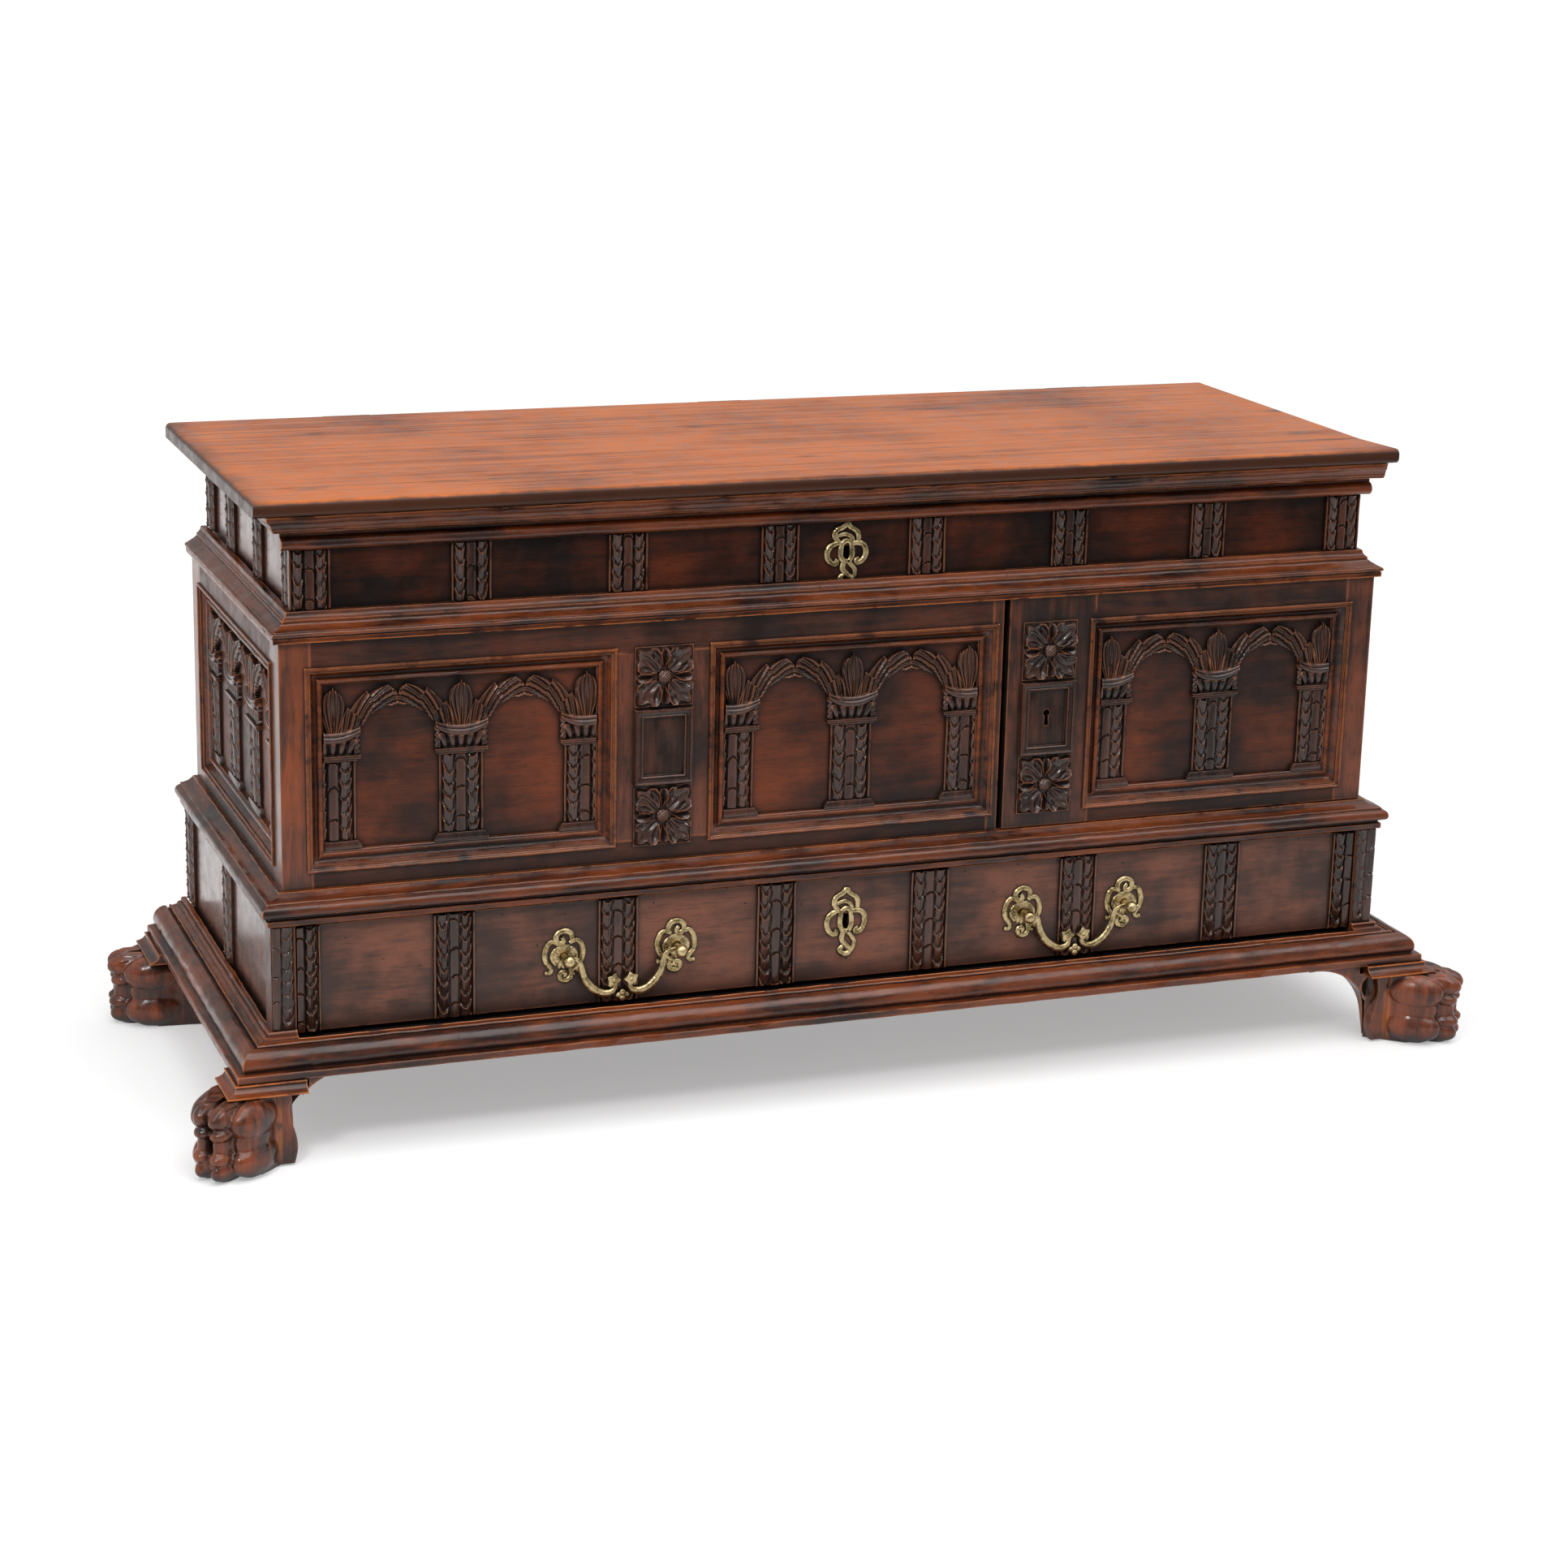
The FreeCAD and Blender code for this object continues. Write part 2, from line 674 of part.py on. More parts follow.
# Arcades: applied columns, capitals and arches. Local frame: y = 0 is the panel's
# face, z = 0 the bottom of the sight opening, x = 0 its middle.
def arcade(name, wide, count):
    sight = s.panel_high - s.mould_wide * 2
    pitch = (wide - s.arcade_edge) / count
    shaft_z = s.column_base_high
    abacus_z = shaft_z + s.column_high
    spring_z = abacus_z + s.abacus_high
    radius = (pitch - s.column_wide) / 2
    arch_z = spring_z + s.arch_rise
    frame = box(name + "_sight", (wide / -2, wide / 2),
                (s.arcade_thick * -3, 0), (0, sight))
    strip = reeded_strip(name + "_shaft", s.column_wide, s.column_high,
                         slab=s.arcade_thick - s.reed_proud)
    pieces = []
    rings = []
    for number in range(count + 1):
        x = pitch * (number - count / 2)
        tag = "%s_%d" % (name, number)
        base_half = s.column_wide / 2 + s.column_base_out
        foot = new_body(tag + "_foot")
        pad(foot, sketch(foot, tag + "_foot_outline", "XZ_Plane", [
            (x - base_half, 0), (x + base_half, 0),
            (x + s.column_wide / 2, shaft_z), (x - s.column_wide / 2, shaft_z)],
            s.arcade_thick / 2), s.arcade_thick, True)
        shaft = group(tag + "_column", [strip], x, 0, shaft_z)
        abacus_half = s.column_wide / 2 + s.abacus_out
        abacus = box(tag + "_abacus", (x - abacus_half, x + abacus_half),
                     (s.arcade_thick * -1.4, 0), (abacus_z, spring_z))
        edge = number in (0, count)
        for kind, piece in (("foot", foot), ("column", shaft), ("abacus", abacus)):
            pieces.append(overlap("%s_%s_trim" % (tag, kind), piece, frame) if edge else piece)
        bar_z = spring_z + s.capital_bar_low
        rings.append(box(tag + "_impost", (x - s.column_wide / 2, x + s.column_wide / 2),
                         (-s.arcade_thick, 0), (spring_z, bar_z + s.capital_bar_high * 1.5)))
        rings.append(box(tag + "_bar", (x - s.column_wide * 0.4, x + s.column_wide * 0.4),
                         (s.arcade_thick * -1.3, 0), (bar_z, bar_z + s.capital_bar_high)))
        leaf_z = bar_z + s.capital_bar_high
        leaf_top = leaf_z + s.palmette_high
        leaf = new_body(tag + "_leaf")
        belly = leaf_z + s.palmette_high * 0.6
        stalk = s.palmette_wide * 0.2
        pad(leaf, sketch(leaf, tag + "_leaf_outline", "XZ_Plane", [
            (x + stalk, leaf_z), (x + s.palmette_wide / 2, belly, x, leaf_top),
            (x - s.palmette_wide / 2, belly, x - stalk, leaf_z)],
            s.arcade_thick / 2), s.arcade_thick, True)
        rings.append(leaf)
    for number in range(count):
        x = pitch * (number - count / 2 + 0.5)
        rings.append(rod("%s_ring_%d" % (name, number), "Y", radius + s.arch_ring,
                         s.arcade_thick, x, -s.arcade_thick, arch_z))
    whole = fuse(name + "_arches", rings)
    openings = []
    for number in range(count):
        x = pitch * (number - count / 2 + 0.5)
        openings.append(rod("%s_arch_%d" % (name, number), "Y", radius, s.arcade_thick * 3,
                            x, s.arcade_thick * -2, arch_z))
        openings.append(box("%s_way_%d" % (name, number), (x - radius, x + radius),
                            (s.arcade_thick * -2, s.overrun), (0, arch_z)))
    above = box(name + "_above", (wide / -2, wide / 2),
                (s.arcade_thick * -3, 0), (spring_z, sight))
    whole = cut(name + "_opened", whole, openings)
    pieces.append(overlap(name + "_arch_band", whole, above))
    return pieces


# Front of the body: post, muntin, jamb, rails, and the two fixed panels.
def panel_box(name, x, wide, proud=0):
    grow = s.tongue - s.lip
    return box(name, (x - wide / 2 - grow, x + wide / 2 + grow),
               (front - proud + s.panel_sunk, front - proud + s.panel_sunk + s.panel_thick),
               (panel_z - grow, panel_top_z + grow))


front_panels = [panel_box("left_panel", left_panel_x, front_panel_wide),
                panel_box("centre_panel", centre_panel_x, front_panel_wide)]
inner_left = left_panel_x - front_panel_wide / 2 + s.lip
muntin_left = left_panel_x + front_panel_wide / 2 - s.lip
muntin_right = centre_panel_x - front_panel_wide / 2 + s.lip
jamb_left = centre_panel_x + front_panel_wide / 2 - s.lip
behind = front + s.front_thick
low_rail_top = panel_z + s.lip
top_rail_low = panel_top_z - s.lip
side_panel_y = front + s.side_panel_front
right_panel_y = front + s.right_panel_front
side_end_y = back - s.side_panel_back
grow = s.tongue - s.lip


def side_panel_box(name, y0, sign):
    outer = half - s.panel_sunk
    xs = (-outer, s.panel_thick - outer) if sign < 0 else (outer - s.panel_thick, outer)
    return box(name, xs, (y0 - grow, side_end_y + grow), (panel_z - grow, panel_top_z + grow))


side_panels = [side_panel_box("left_side_panel", side_panel_y, -1),
               side_panel_box("right_side_panel", right_panel_y, 1)]
posts = [box("front_left_post", (-half, inner_left), (front, side_panel_y + s.lip),
             (frame_z, waist_z)),
         box("front_right_post", (half - s.side_thick, half),
             (behind, right_panel_y + s.lip), (frame_z, waist_z)),
         box("back_left_post", (-half, s.side_thick - half), (side_end_y - s.lip, back),
             (frame_z, waist_z)),
         box("back_right_post", (half - s.side_thick, half), (side_end_y - s.lip, back),
             (frame_z, waist_z))]
posts[0] = cut("front_left_grooved", posts[0], [front_panels[0], side_panels[0]])
posts[1] = cut("front_right_grooved", posts[1], [side_panels[1]])
posts[2] = cut("back_left_grooved", posts[2], [side_panels[0]])
posts[3] = cut("back_right_grooved", posts[3], [side_panels[1]])
node("corner_posts", posts)
muntin = box("muntin_block", (muntin_left, muntin_right), (front, behind),
             (low_rail_top, top_rail_low))
node("front_muntin", [cut("muntin_grooved", muntin, front_panels)])
bolt_z = panel_mid_z
bolt_y = front + s.door_thick - s.door_proud + s.lock_wall + s.bolt_clear * 2
jamb = [box("jamb_face", (jamb_left, jamb_x), (front, behind), (frame_z, waist_z)),
        box("jamb_stop", (jamb_left, jamb_x + s.stop_wide), (behind, behind + s.stop_thick),
            (body_z, waist_z))]
mortise = box("jamb_mortise", (jamb_x - s.bolt_travel, jamb_x + s.stop_wide + s.overrun),
              (bolt_y - s.bolt_clear, bolt_y + s.bolt_thick + s.bolt_clear),
              (bolt_z - s.bolt_high / 2 - s.bolt_clear, bolt_z + s.bolt_high / 2 + s.bolt_clear))
node("door_jamb", [cut("jamb_face_cut", jamb[0], [front_panels[1], mortise]),
                   cut("jamb_stop_cut", jamb[1], [mortise])])
body_rails = [
    cut("top_rail", box("top_rail_block", (inner_left, jamb_left), (front, behind),
                        (top_rail_low, waist_z)), front_panels),
    cut("low_rail", box("low_rail_block", (inner_left, jamb_left), (front, behind),
                        (frame_z, low_rail_top)), front_panels),
    box("door_sill", (jamb_x, half), (front, behind), (frame_z, body_z))]

for tag, sign, y0, tool in (("left", -1, side_panel_y, side_panels[0]),
                            ("right", 1, right_panel_y, side_panels[1])):
    xs = (-half, s.side_thick - half) if sign < 0 else (half - s.side_thick, half)
    ys = (y0 + s.lip, side_end_y - s.lip)
    for level, zs in (("low", (frame_z, low_rail_top)), ("top", (top_rail_low, waist_z))):
        body_rails.append(cut("%s_%s_rail" % (tag, level),
                              box("%s_%s_block" % (tag, level), xs, ys, zs), [tool]))
node("body_rails", body_rails)
node("fixed_panels", front_panels + side_panels)

fixed_mould = panel_moulding("front_mould", front_panel_wide, s.panel_high)
node("front_panel_mouldings", [
    group("left_panel_mould", fixed_mould, left_panel_x, front, panel_mid_z),
    group("centre_panel_mould", fixed_mould, centre_panel_x, front, panel_mid_z)])
sight_z = panel_z + s.mould_wide
fixed_arcade = arcade("front_arcade", front_panel_wide - s.mould_wide * 2, 2)
node("front_arcades", [
    group("left_arcade", fixed_arcade, left_panel_x, front + s.panel_sunk, sight_z),
    group("centre_arcade", fixed_arcade, centre_panel_x, front + s.panel_sunk, sight_z)])
side_moulds = []
side_arcades = []
for tag, sign, y0 in (("left", -1, side_panel_y), ("right", 1, right_panel_y)):
    wide = side_end_y - y0
    middle = y0 + wide / 2
    side_moulds.append(group(tag + "_side_mould", panel_moulding(tag + "_mould", wide,
                                                                 s.panel_high),
                             half * sign, middle, panel_mid_z, 90 * sign))
    side_arcades.append(group(tag + "_side_arcade", arcade(tag + "_arcade",
                                                           wide - s.mould_wide * 2, 3),
                              (half - s.panel_sunk) * sign, middle, sight_z, 90 * sign))
node("side_panel_mouldings", side_moulds)
node("side_arcades", side_arcades)


# Rosette plaques and the small framed tablet between them.
def rosette(name, z):
    """A square plaque from z up, its middle on x = 0 and its back on y = 0."""
    middle = z + s.plaque_high / 2
    reach = s.plaque_wide / 2 - s.petal_radius
    parts = [box(name + "_slab", (s.plaque_wide / -2, s.plaque_wide / 2),
                 (-s.plaque_thick, 0), (z, z + s.plaque_high)),
             rod(name + "_boss", "Y", s.boss_radius, s.plaque_thick + s.petal_high * 1.5,
                 0, -s.plaque_thick - s.petal_high * 1.5, middle)]
    for number, (across, up) in enumerate(((-1, -1), (1, -1), (1, 1), (-1, 1))):
        parts.append(rod("%s_petal_%d" % (name, number), "Y", s.petal_radius,
                         s.plaque_thick + s.petal_high, reach * across,
                         -s.plaque_thick - s.petal_high, middle + reach * up))
    return fuse(name, parts)


def tablet(name, z):
    outer = box(name + "_block", (s.plaque_wide / -2, s.plaque_wide / 2),
                (-s.tablet_rim_high, 0), (z, z + s.tablet_high))
    sunk = box(name + "_sunk", (s.tablet_rim - s.plaque_wide / 2,
                                s.plaque_wide / 2 - s.tablet_rim),
               (-s.tablet_rim_high - s.overrun, -s.plaque_thick),
               (z + s.tablet_rim, z + s.tablet_high - s.tablet_rim))
    return cut(name, outer, [sunk])


tablet_low = (s.panel_high - s.tablet_high) / 2
rosette_high = s.panel_high - s.plaque_high
plaques = [rosette("low_rosette", 0), tablet("tablet", tablet_low),
           rosette("top_rosette", rosette_high)]
muntin_x = (muntin_left + muntin_right) / 2
node("muntin_plaques", [group("fixed_plaques", plaques, muntin_x, front, panel_z)])

# Floor, back and partition of the chest.
drawer_key_z = base_z - s.drawer_low + s.drawer_key_level
bolt_up_y = front - s.base_out + s.drawer_face_in + s.drawer_front_thick
drawer_bolt_y = bolt_up_y + s.lock_wall + s.bolt_clear * 2
chest_floor = box("chest_floor_block", (-half, half), (front, back), (deck_z, frame_z))
floor_mortise = box("floor_mortise", (key_x - s.bolt_wide / 2 - s.bolt_clear * 2,
                                      key_x + s.bolt_wide / 2 + s.bolt_clear * 2),
                    (drawer_bolt_y - s.bolt_clear * 2,
                     drawer_bolt_y + s.bolt_thick + s.bolt_clear * 2),
                    (deck_z - s.overrun, deck_z + s.bolt_travel))
node("chest_floor", [cut("chest_floor_cut", chest_floor, [floor_mortise])])
wall_in = half - s.side_thick
frieze_in = board_x - s.frieze_board_thick
base_in = half + s.base_field_out - s.base_side_thick
board_z = plinth_z + s.plinth_board_rise + s.plinth_board_thick
node("back_boards", [
    box("back_low", (-base_in, base_in), (back - s.back_thick, back), (board_z, deck_z)),
    box("back_middle", (-wall_in, wall_in), (back - s.back_thick, back), (frame_z, waist_z)),
    box("back_top", (-frieze_in, frieze_in), (back - s.back_thick, back),
        (waist_z, board_top_z))])
node("partition", [box("partition_board", (jamb_left - s.partition_thick, jamb_left),
                       (behind + s.stop_thick, back - s.back_thick),
                       (frame_z, board_top_z))])

# Drawer case: floor of the plinth, posts, side boards, strips and runners.
base_half = half + s.base_out
node("plinth_board", [box("plinth_board_block", (-base_half, base_half),
                          (front - s.base_out, back),
                          (board_z - s.plinth_board_thick, board_z))])
base_posts = []
field_x = half + s.base_field_out
for tag, outer, ys in (
        ("front", base_half, (front - s.base_out, front - s.base_out + s.base_post_deep)),
        ("back", field_x, (back - s.base_post_deep, back))):
    post = box("base_%s_post" % tag, (-outer, s.base_post_wide - base_half), ys,
               (board_z, deck_z))
    base_posts += [post, mirrored("base_%s_post_right" % tag, post)]
post_in = base_half - s.base_post_wide
back_low = nodes["back_boards"].Links[0]
bind(back_low, Length=post_in * 2, Placement__Base__x=-post_in)
node("base_posts", base_posts)
side_from = front - s.base_out + s.base_post_deep
side_to = back - s.base_post_deep
base_side = box("base_side_board", (-field_x, s.base_side_thick - field_x),
                (side_from, side_to), (board_z, deck_z))
node("base_side_boards", [base_side, mirrored("base_side_board_right", base_side)])
drawer_strip = reeded_strip("drawer_strip", s.drawer_strip_wide, s.base_high)
base_strips = []
for tag, along_y in (("middle", (side_from + side_to) / 2),
                     ("rear", back - s.drawer_strip_wide / 2)):
    base_strips.append(group("base_strip_%s_left" % tag, [drawer_strip], -field_x, along_y,
                             base_z, -90))
    base_strips.append(group("base_strip_%s_right" % tag, [drawer_strip], field_x, along_y,
                             base_z, 90))
node("base_side_pilasters", base_strips)
drawer_z = base_z - s.drawer_low
runner = box("runner_left", (-post_in, s.runner_wide - post_in), (side_from, side_to),
             (board_z, drawer_z - s.drawer_run_gap))
node("drawer_runners", [runner, mirrored("runner_right", runner)])


# Feet: flared cap blocks, paws with four toes, and shaped brackets.
cap_low = plinth_z - s.cap_high


def foot_cap(name):
    """Front left cap block: square inside, flared on its two outer faces."""
    x0 = -half - s.plinth_out
    y0 = front - s.plinth_out
    body = new_body(name)
    corners = [(x0, y0, plinth_z), (x0 - s.cap_flare, y0 - s.cap_flare, cap_low)]
    outlines = []
    for number, (x, y, z) in enumerate(corners):
        outlines.append(sketch(body, "%s_outline_%d" % (name, number), "XY_Plane", [
            (x, y), (x0 + s.cap_square, y), (x0 + s.cap_square, y0 + s.cap_square),
            (x, y0 + s.cap_square)], z))
    loft = body.newObject("PartDesign::AdditiveLoft", name + "_loft")
    loft.Profile = outlines[0]
    loft.Sections = [outlines[1]]
    loft.Ruled = True
    return body


def bulge(name, radius, x, tip, foot, z):
    """A round-ended length of a toe that points along -Y, from foot out to tip."""
    return [ball(name + "_end", radius, x, radius - tip, z),
            rod(name + "_length", "Y", radius, as_size(tip) - radius - foot, x, radius - tip, z)]


def toe(name, radius, x, tip, claw):
    """One toe: a pad on the floor, a knuckle under the cap and a neck between."""
    low = radius * 0.92
    high = cap_low - radius * 0.96
    return (bulge(name + "_pad", radius, x, tip - claw, s.heel_near, low)
            + bulge(name + "_knuckle", radius, x, tip, s.heel_near, high)
            + bulge(name + "_neck", radius * 0.86, x, tip - radius * 0.3, s.heel_near,
                    (low + high) / 2))


def paw(name):
    """A paw that points along -Y from the origin, cut flat below."""
    lobes = []
    for side in (-1, 1):
        lobes += toe("%s_outer_%d" % (name, side + 1), s.outer_toe_radius,
                     s.outer_toe_apart / 2 * side, s.outer_toe_tip, 0)
        lobes += toe("%s_middle_%d" % (name, side + 1), s.middle_toe_radius,
                     s.middle_toe_apart / 2 * side, s.middle_toe_tip, s.claw_back)
    lobes.append(box(name + "_heel", (s.heel_wide / -2, s.heel_wide / 2),
                     (-s.heel_far, -s.heel_near), (0, cap_low)))
    reach = s.foot_out * 2
    trim = box(name + "_trim", (-reach, reach), (-reach, reach), (0, cap_low))
    return overlap(name + "_trimmed", fuse(name, lobes), trim)


left_cap = foot_cap("left_cap")
paw_shape = paw("paw")
front_paw = overlap("front_paw_trimmed", group("front_paw_turned", [paw_shape], -half, front,
                                               turn=-45),
                    box("front_paw_limit", (-half - s.foot_out, 0),
                        (front - s.foot_out, back), (0, cap_low)))
# The rear paws are the same carving turned to point straight out sideways.
rear_paw_x = s.middle_toe_tip - s.rear_foot_out - half
rear_paw = group("rear_paw_turned", [paw_shape], rear_paw_x, back - s.rear_paw_in, turn=-90)
node("front_paws", [front_paw, mirrored("front_right_paw", front_paw)])
node("rear_paws", [rear_paw, mirrored("rear_right_paw", rear_paw)])
rear_cap_body = new_body("rear_cap")
cap_x = -half - s.plinth_out
rear_outline = [(cap_x - s.cap_flare, cap_low), (cap_x, plinth_z),
                (cap_x + s.cap_square, plinth_z), (cap_x + s.cap_square, cap_low)]
pad(rear_cap_body, sketch(rear_cap_body, "rear_cap_outline", "XZ_Plane", rear_outline,
                          s.cap_square * 0.55 - back), s.cap_square * 1.1, True)
node("foot_caps", [left_cap, mirrored("right_cap", left_cap), rear_cap_body,
                   mirrored("rear_right_cap", rear_cap_body)])


def bracket(name, y, run):
    """A wing under the plinth whose hollow edge runs out from the foot to the board."""
    x0 = -half - s.bracket_foot
    x1 = x0 + s.bracket_foot_wide
    body = new_body(name)
    pad(body, sketch(body, name + "_outline", "XZ_Plane", [
        (x0, cap_low), (x0, 0), (x1, 0), (x1 + run * 0.06, plinth_z * 0.3),
        (x1 + run * 0.28, plinth_z * 0.72, x1 + run, plinth_z * 0.96), (x1 + run, plinth_z),
        (cap_x + s.cap_square, plinth_z), (cap_x + s.cap_square, cap_low)],
        -y), s.bracket_thick, True)
    return body


wing_y = front - s.plinth_out + s.bracket_in + s.bracket_thick / 2
left_wing = cut("left_wing_trim", bracket("left_wing", wing_y, s.bracket_run_left),
                [front_paw])
right_wing = cut("right_wing_trim", bracket("right_wing", wing_y, s.bracket_run_right),
                 [front_paw])
rear_wing = cut("rear_wing_trim", bracket("rear_wing", back - s.bracket_thick / 2,
                                          s.bracket_run_right), [rear_paw])
node("foot_brackets", [left_wing, mirrored("front_wing_right", right_wing), rear_wing,
                       mirrored("rear_wing_right", rear_wing)])


# Lid: three planks, two battens, the lock's staple and the hinges.
lid_left = -half - s.lid_over_left
lid_right = half + s.lid_over_right
lid_front = front - s.lid_over_front
joint_1 = lid_front + s.lid_front_plank
joint_2 = back - s.lid_back_plank


def plank(name, outline):
    body = new_body(name)
    pad(body, sketch(body, name + "_outline", "XY_Plane", outline, lid_z), s.lid_thick)
    return body


def round_edges(body, radius, chosen):
    doc.recompute()
    tip = body.Tip
    names = ["Edge%d" % (number + 1) for number, edge in enumerate(tip.Shape.Edges)
             if chosen(edge)]
    rounded = body.newObject("PartDesign::Fillet", body.Name + "_round")
    rounded.Base = (tip, names)
    bind(rounded, Radius=radius)
    return body


def along(edge, x=None, y=None, z=None):
    """True where both ends of an edge lie on the given planes."""
    near = 0.01
    for vertex in edge.Vertexes:
        for value, place in ((vertex.X, x), (vertex.Y, y), (vertex.Z, z)):
            if place is not None and abs(value - place.value) > near:
                return False
    return True


front_plank = plank("front_plank", [(lid_left, lid_front), (lid_right + s.lid_tip, lid_front),
                                    (lid_right, joint_1), (lid_left, joint_1)])
round_edges(front_plank, s.lid_round, lambda edge: along(edge, y=lid_front, z=top_z)
            or along(edge, y=lid_front, z=lid_z) or along(edge, x=lid_left, z=top_z))
node("lid_front_board", [front_plank])
middle_plank = plank("middle_plank", [(lid_left, joint_1), (lid_right, joint_1),
                                      (lid_right, joint_2), (lid_left, joint_2)])
round_edges(middle_plank, s.lid_round, lambda edge: along(edge, x=lid_left, z=top_z))
back_plank = plank("back_plank", [(lid_left, joint_2), (lid_right, joint_2),
                                  (lid_right, back), (lid_left, back)])
round_edges(back_plank, s.lid_round, lambda edge: along(edge, x=lid_left, z=top_z))
node("lid_rear_boards", [middle_plank, back_plank])
batten_from = board_y + s.frieze_board_thick + s.lock_deep * 2
batten_to = back - s.back_thick * 2
batten = box("batten_left", (-s.batten_inset - s.batten_wide / 2,
                             s.batten_wide / 2 - s.batten_inset),
             (batten_from, batten_to), (lid_z - s.batten_thick, lid_z))
node("lid_battens", [batten, mirrored("batten_right", batten)])

# Lock on the frieze board: case, bolt, spring, and the staple under the lid.
case_y = board_y + s.frieze_board_thick


def lock_case(name, x, y, zs, tools):
    """A thin box whose open side lies on the wood at y, centred on x."""
    x0 = x - s.lock_wide / 2
    x1 = x + s.lock_wide / 2
    y1 = y + s.lock_deep
    wall = s.lock_wall
    shell = box(name + "_shell", (x0, x1), (y, y1), zs)
    inside = box(name + "_inside", (x0 + wall, x1 - wall), (y - s.overrun, y1 - wall),
                 (zs[0] + wall, zs[1] - wall))
    return cut(name, shell, [inside] + tools)


def lock_spring(name, xs, bolt_back, y, z):
    """A flat spring on the case's back wall, just behind the bolt."""
    return box(name, xs, (bolt_back + s.spring_gap, y + s.lock_deep - s.lock_wall),
               (z - s.spring_thick / 2, z + s.spring_thick / 2))


staple_z = lid_z - s.staple_long
staple_y = case_y + s.staple_clear
staple_deep = s.bolt_thick + s.bolt_clear * 2 + s.staple_wall * 2
staple_x = key_x - s.staple_wide / 2
eye_z = staple_z + s.staple_wall * 2
lid_bolt_y = staple_y + s.staple_wall + s.bolt_clear
lid_bolt_z = eye_z + (s.staple_eye - s.bolt_high) / 2
lid_bolt_x = staple_x - s.staple_clear
lid_slot = box("lid_lock_slot", (staple_x - s.bolt_clear * 2,
                                 staple_x + s.staple_wide + s.bolt_clear * 2),
               (case_y - s.overrun, staple_y + staple_deep + s.bolt_clear * 2),
               (board_top_z - s.overrun, board_top_z + s.overrun))
node("lid_lock_case", [
    lock_case("lid_lock", key_x, case_y, (board_top_z - s.lid_lock_high, board_top_z),
              [lid_slot]),
    lock_spring("lid_lock_spring", (key_x - s.lock_wide / 2 + s.lock_wall, lid_bolt_x),
                lid_bolt_y + s.bolt_thick, case_y, lid_bolt_z + s.bolt_high / 2)])
eye = box("staple_eye_tool", (staple_x - s.overrun, staple_x + s.staple_wide + s.overrun),
          (staple_y + s.staple_wall, staple_y + staple_deep - s.staple_wall),
          (eye_z, eye_z + s.staple_eye))
node("lid_staple", [cut("staple_cut", box(
    "staple_block", (staple_x, staple_x + s.staple_wide), (staple_y, staple_y + staple_deep),
    (staple_z, lid_z)), [eye])])
lid_bolt_long = s.bolt_wide * 0.8
node("lid_bolt", [box("lid_bolt_bar", (lid_bolt_x - lid_bolt_long, lid_bolt_x),
                      (lid_bolt_y, lid_bolt_y + s.bolt_thick),
                      (lid_bolt_z, lid_bolt_z + s.bolt_high))])


# Hinges: plain butt hinges, the middle knuckle on the moving leaf.
def hinge(name, wide, fixed_leaf, moving_leaf):
    """Local frame: the pin lies on +X from -wide / 2, fixed leaf below, moving above.

    y = 0 is the face that both leaves lie on, which is knuckle_r in front of the pin.
    """
    r = s.knuckle_r
    third = wide / 3
    gap = s.knuckle_gap / 2
    bore = rod(name + "_bore", "X", s.hinge_pin + s.pin_clear, wide * 2, -wide, r, 0)
    fixed = [box(name + "_fixed_leaf", (wide / -2, wide / 2), (0, s.leaf_thick),
                 (-fixed_leaf, -r - gap))]
    for number, start in enumerate((wide / -2, third / 2 + gap)):
        fixed.append(rod("%s_fixed_knuckle_%d" % (name, number), "X", r, third - gap,
                         start, r, 0))
        fixed.append(box("%s_fixed_web_%d" % (name, number), (start, start + third - gap),
                         (0, s.leaf_thick), (-r - gap * 2, 0)))
    moving = [box(name + "_moving_leaf", (wide / -2, wide / 2), (0, s.leaf_thick),
                  (r + gap, moving_leaf)),
              rod(name + "_moving_knuckle", "X", r, third - gap * 2, third / -2 + gap, r, 0),
              box(name + "_moving_web", (third / -2 + gap, third / 2 - gap),
                  (0, s.leaf_thick), (0, r + gap * 2))]
    pin = rod(name + "_pin", "X", s.hinge_pin, wide, wide / -2, r, 0)
    return (cut(name + "_fixed", fuse(name + "_fixed_fuse", fixed), [bore]),
            cut(name + "_moving", fuse(name + "_moving_fuse", moving), [bore]), pin)


lid_fixed, lid_moving, lid_pin = hinge("lid_hinge", s.hinge_wide, s.lid_hinge_leaf,
                                       s.lid_thick)
lid_hinges = []
lid_leaves = []
for number in (-1, 0, 1):
    at = s.lid_hinge_apart * number
    lid_hinges.append(group("lid_hinge_%d" % (number + 1), [lid_fixed, lid_pin], at, back,
                            lid_z))
    lid_leaves.append(group("lid_leaf_%d" % (number + 1), [lid_moving], at, back, lid_z))
node("lid_hinge_leaves_fixed", lid_hinges)
node("lid_hinge_leaves_moving", lid_leaves)

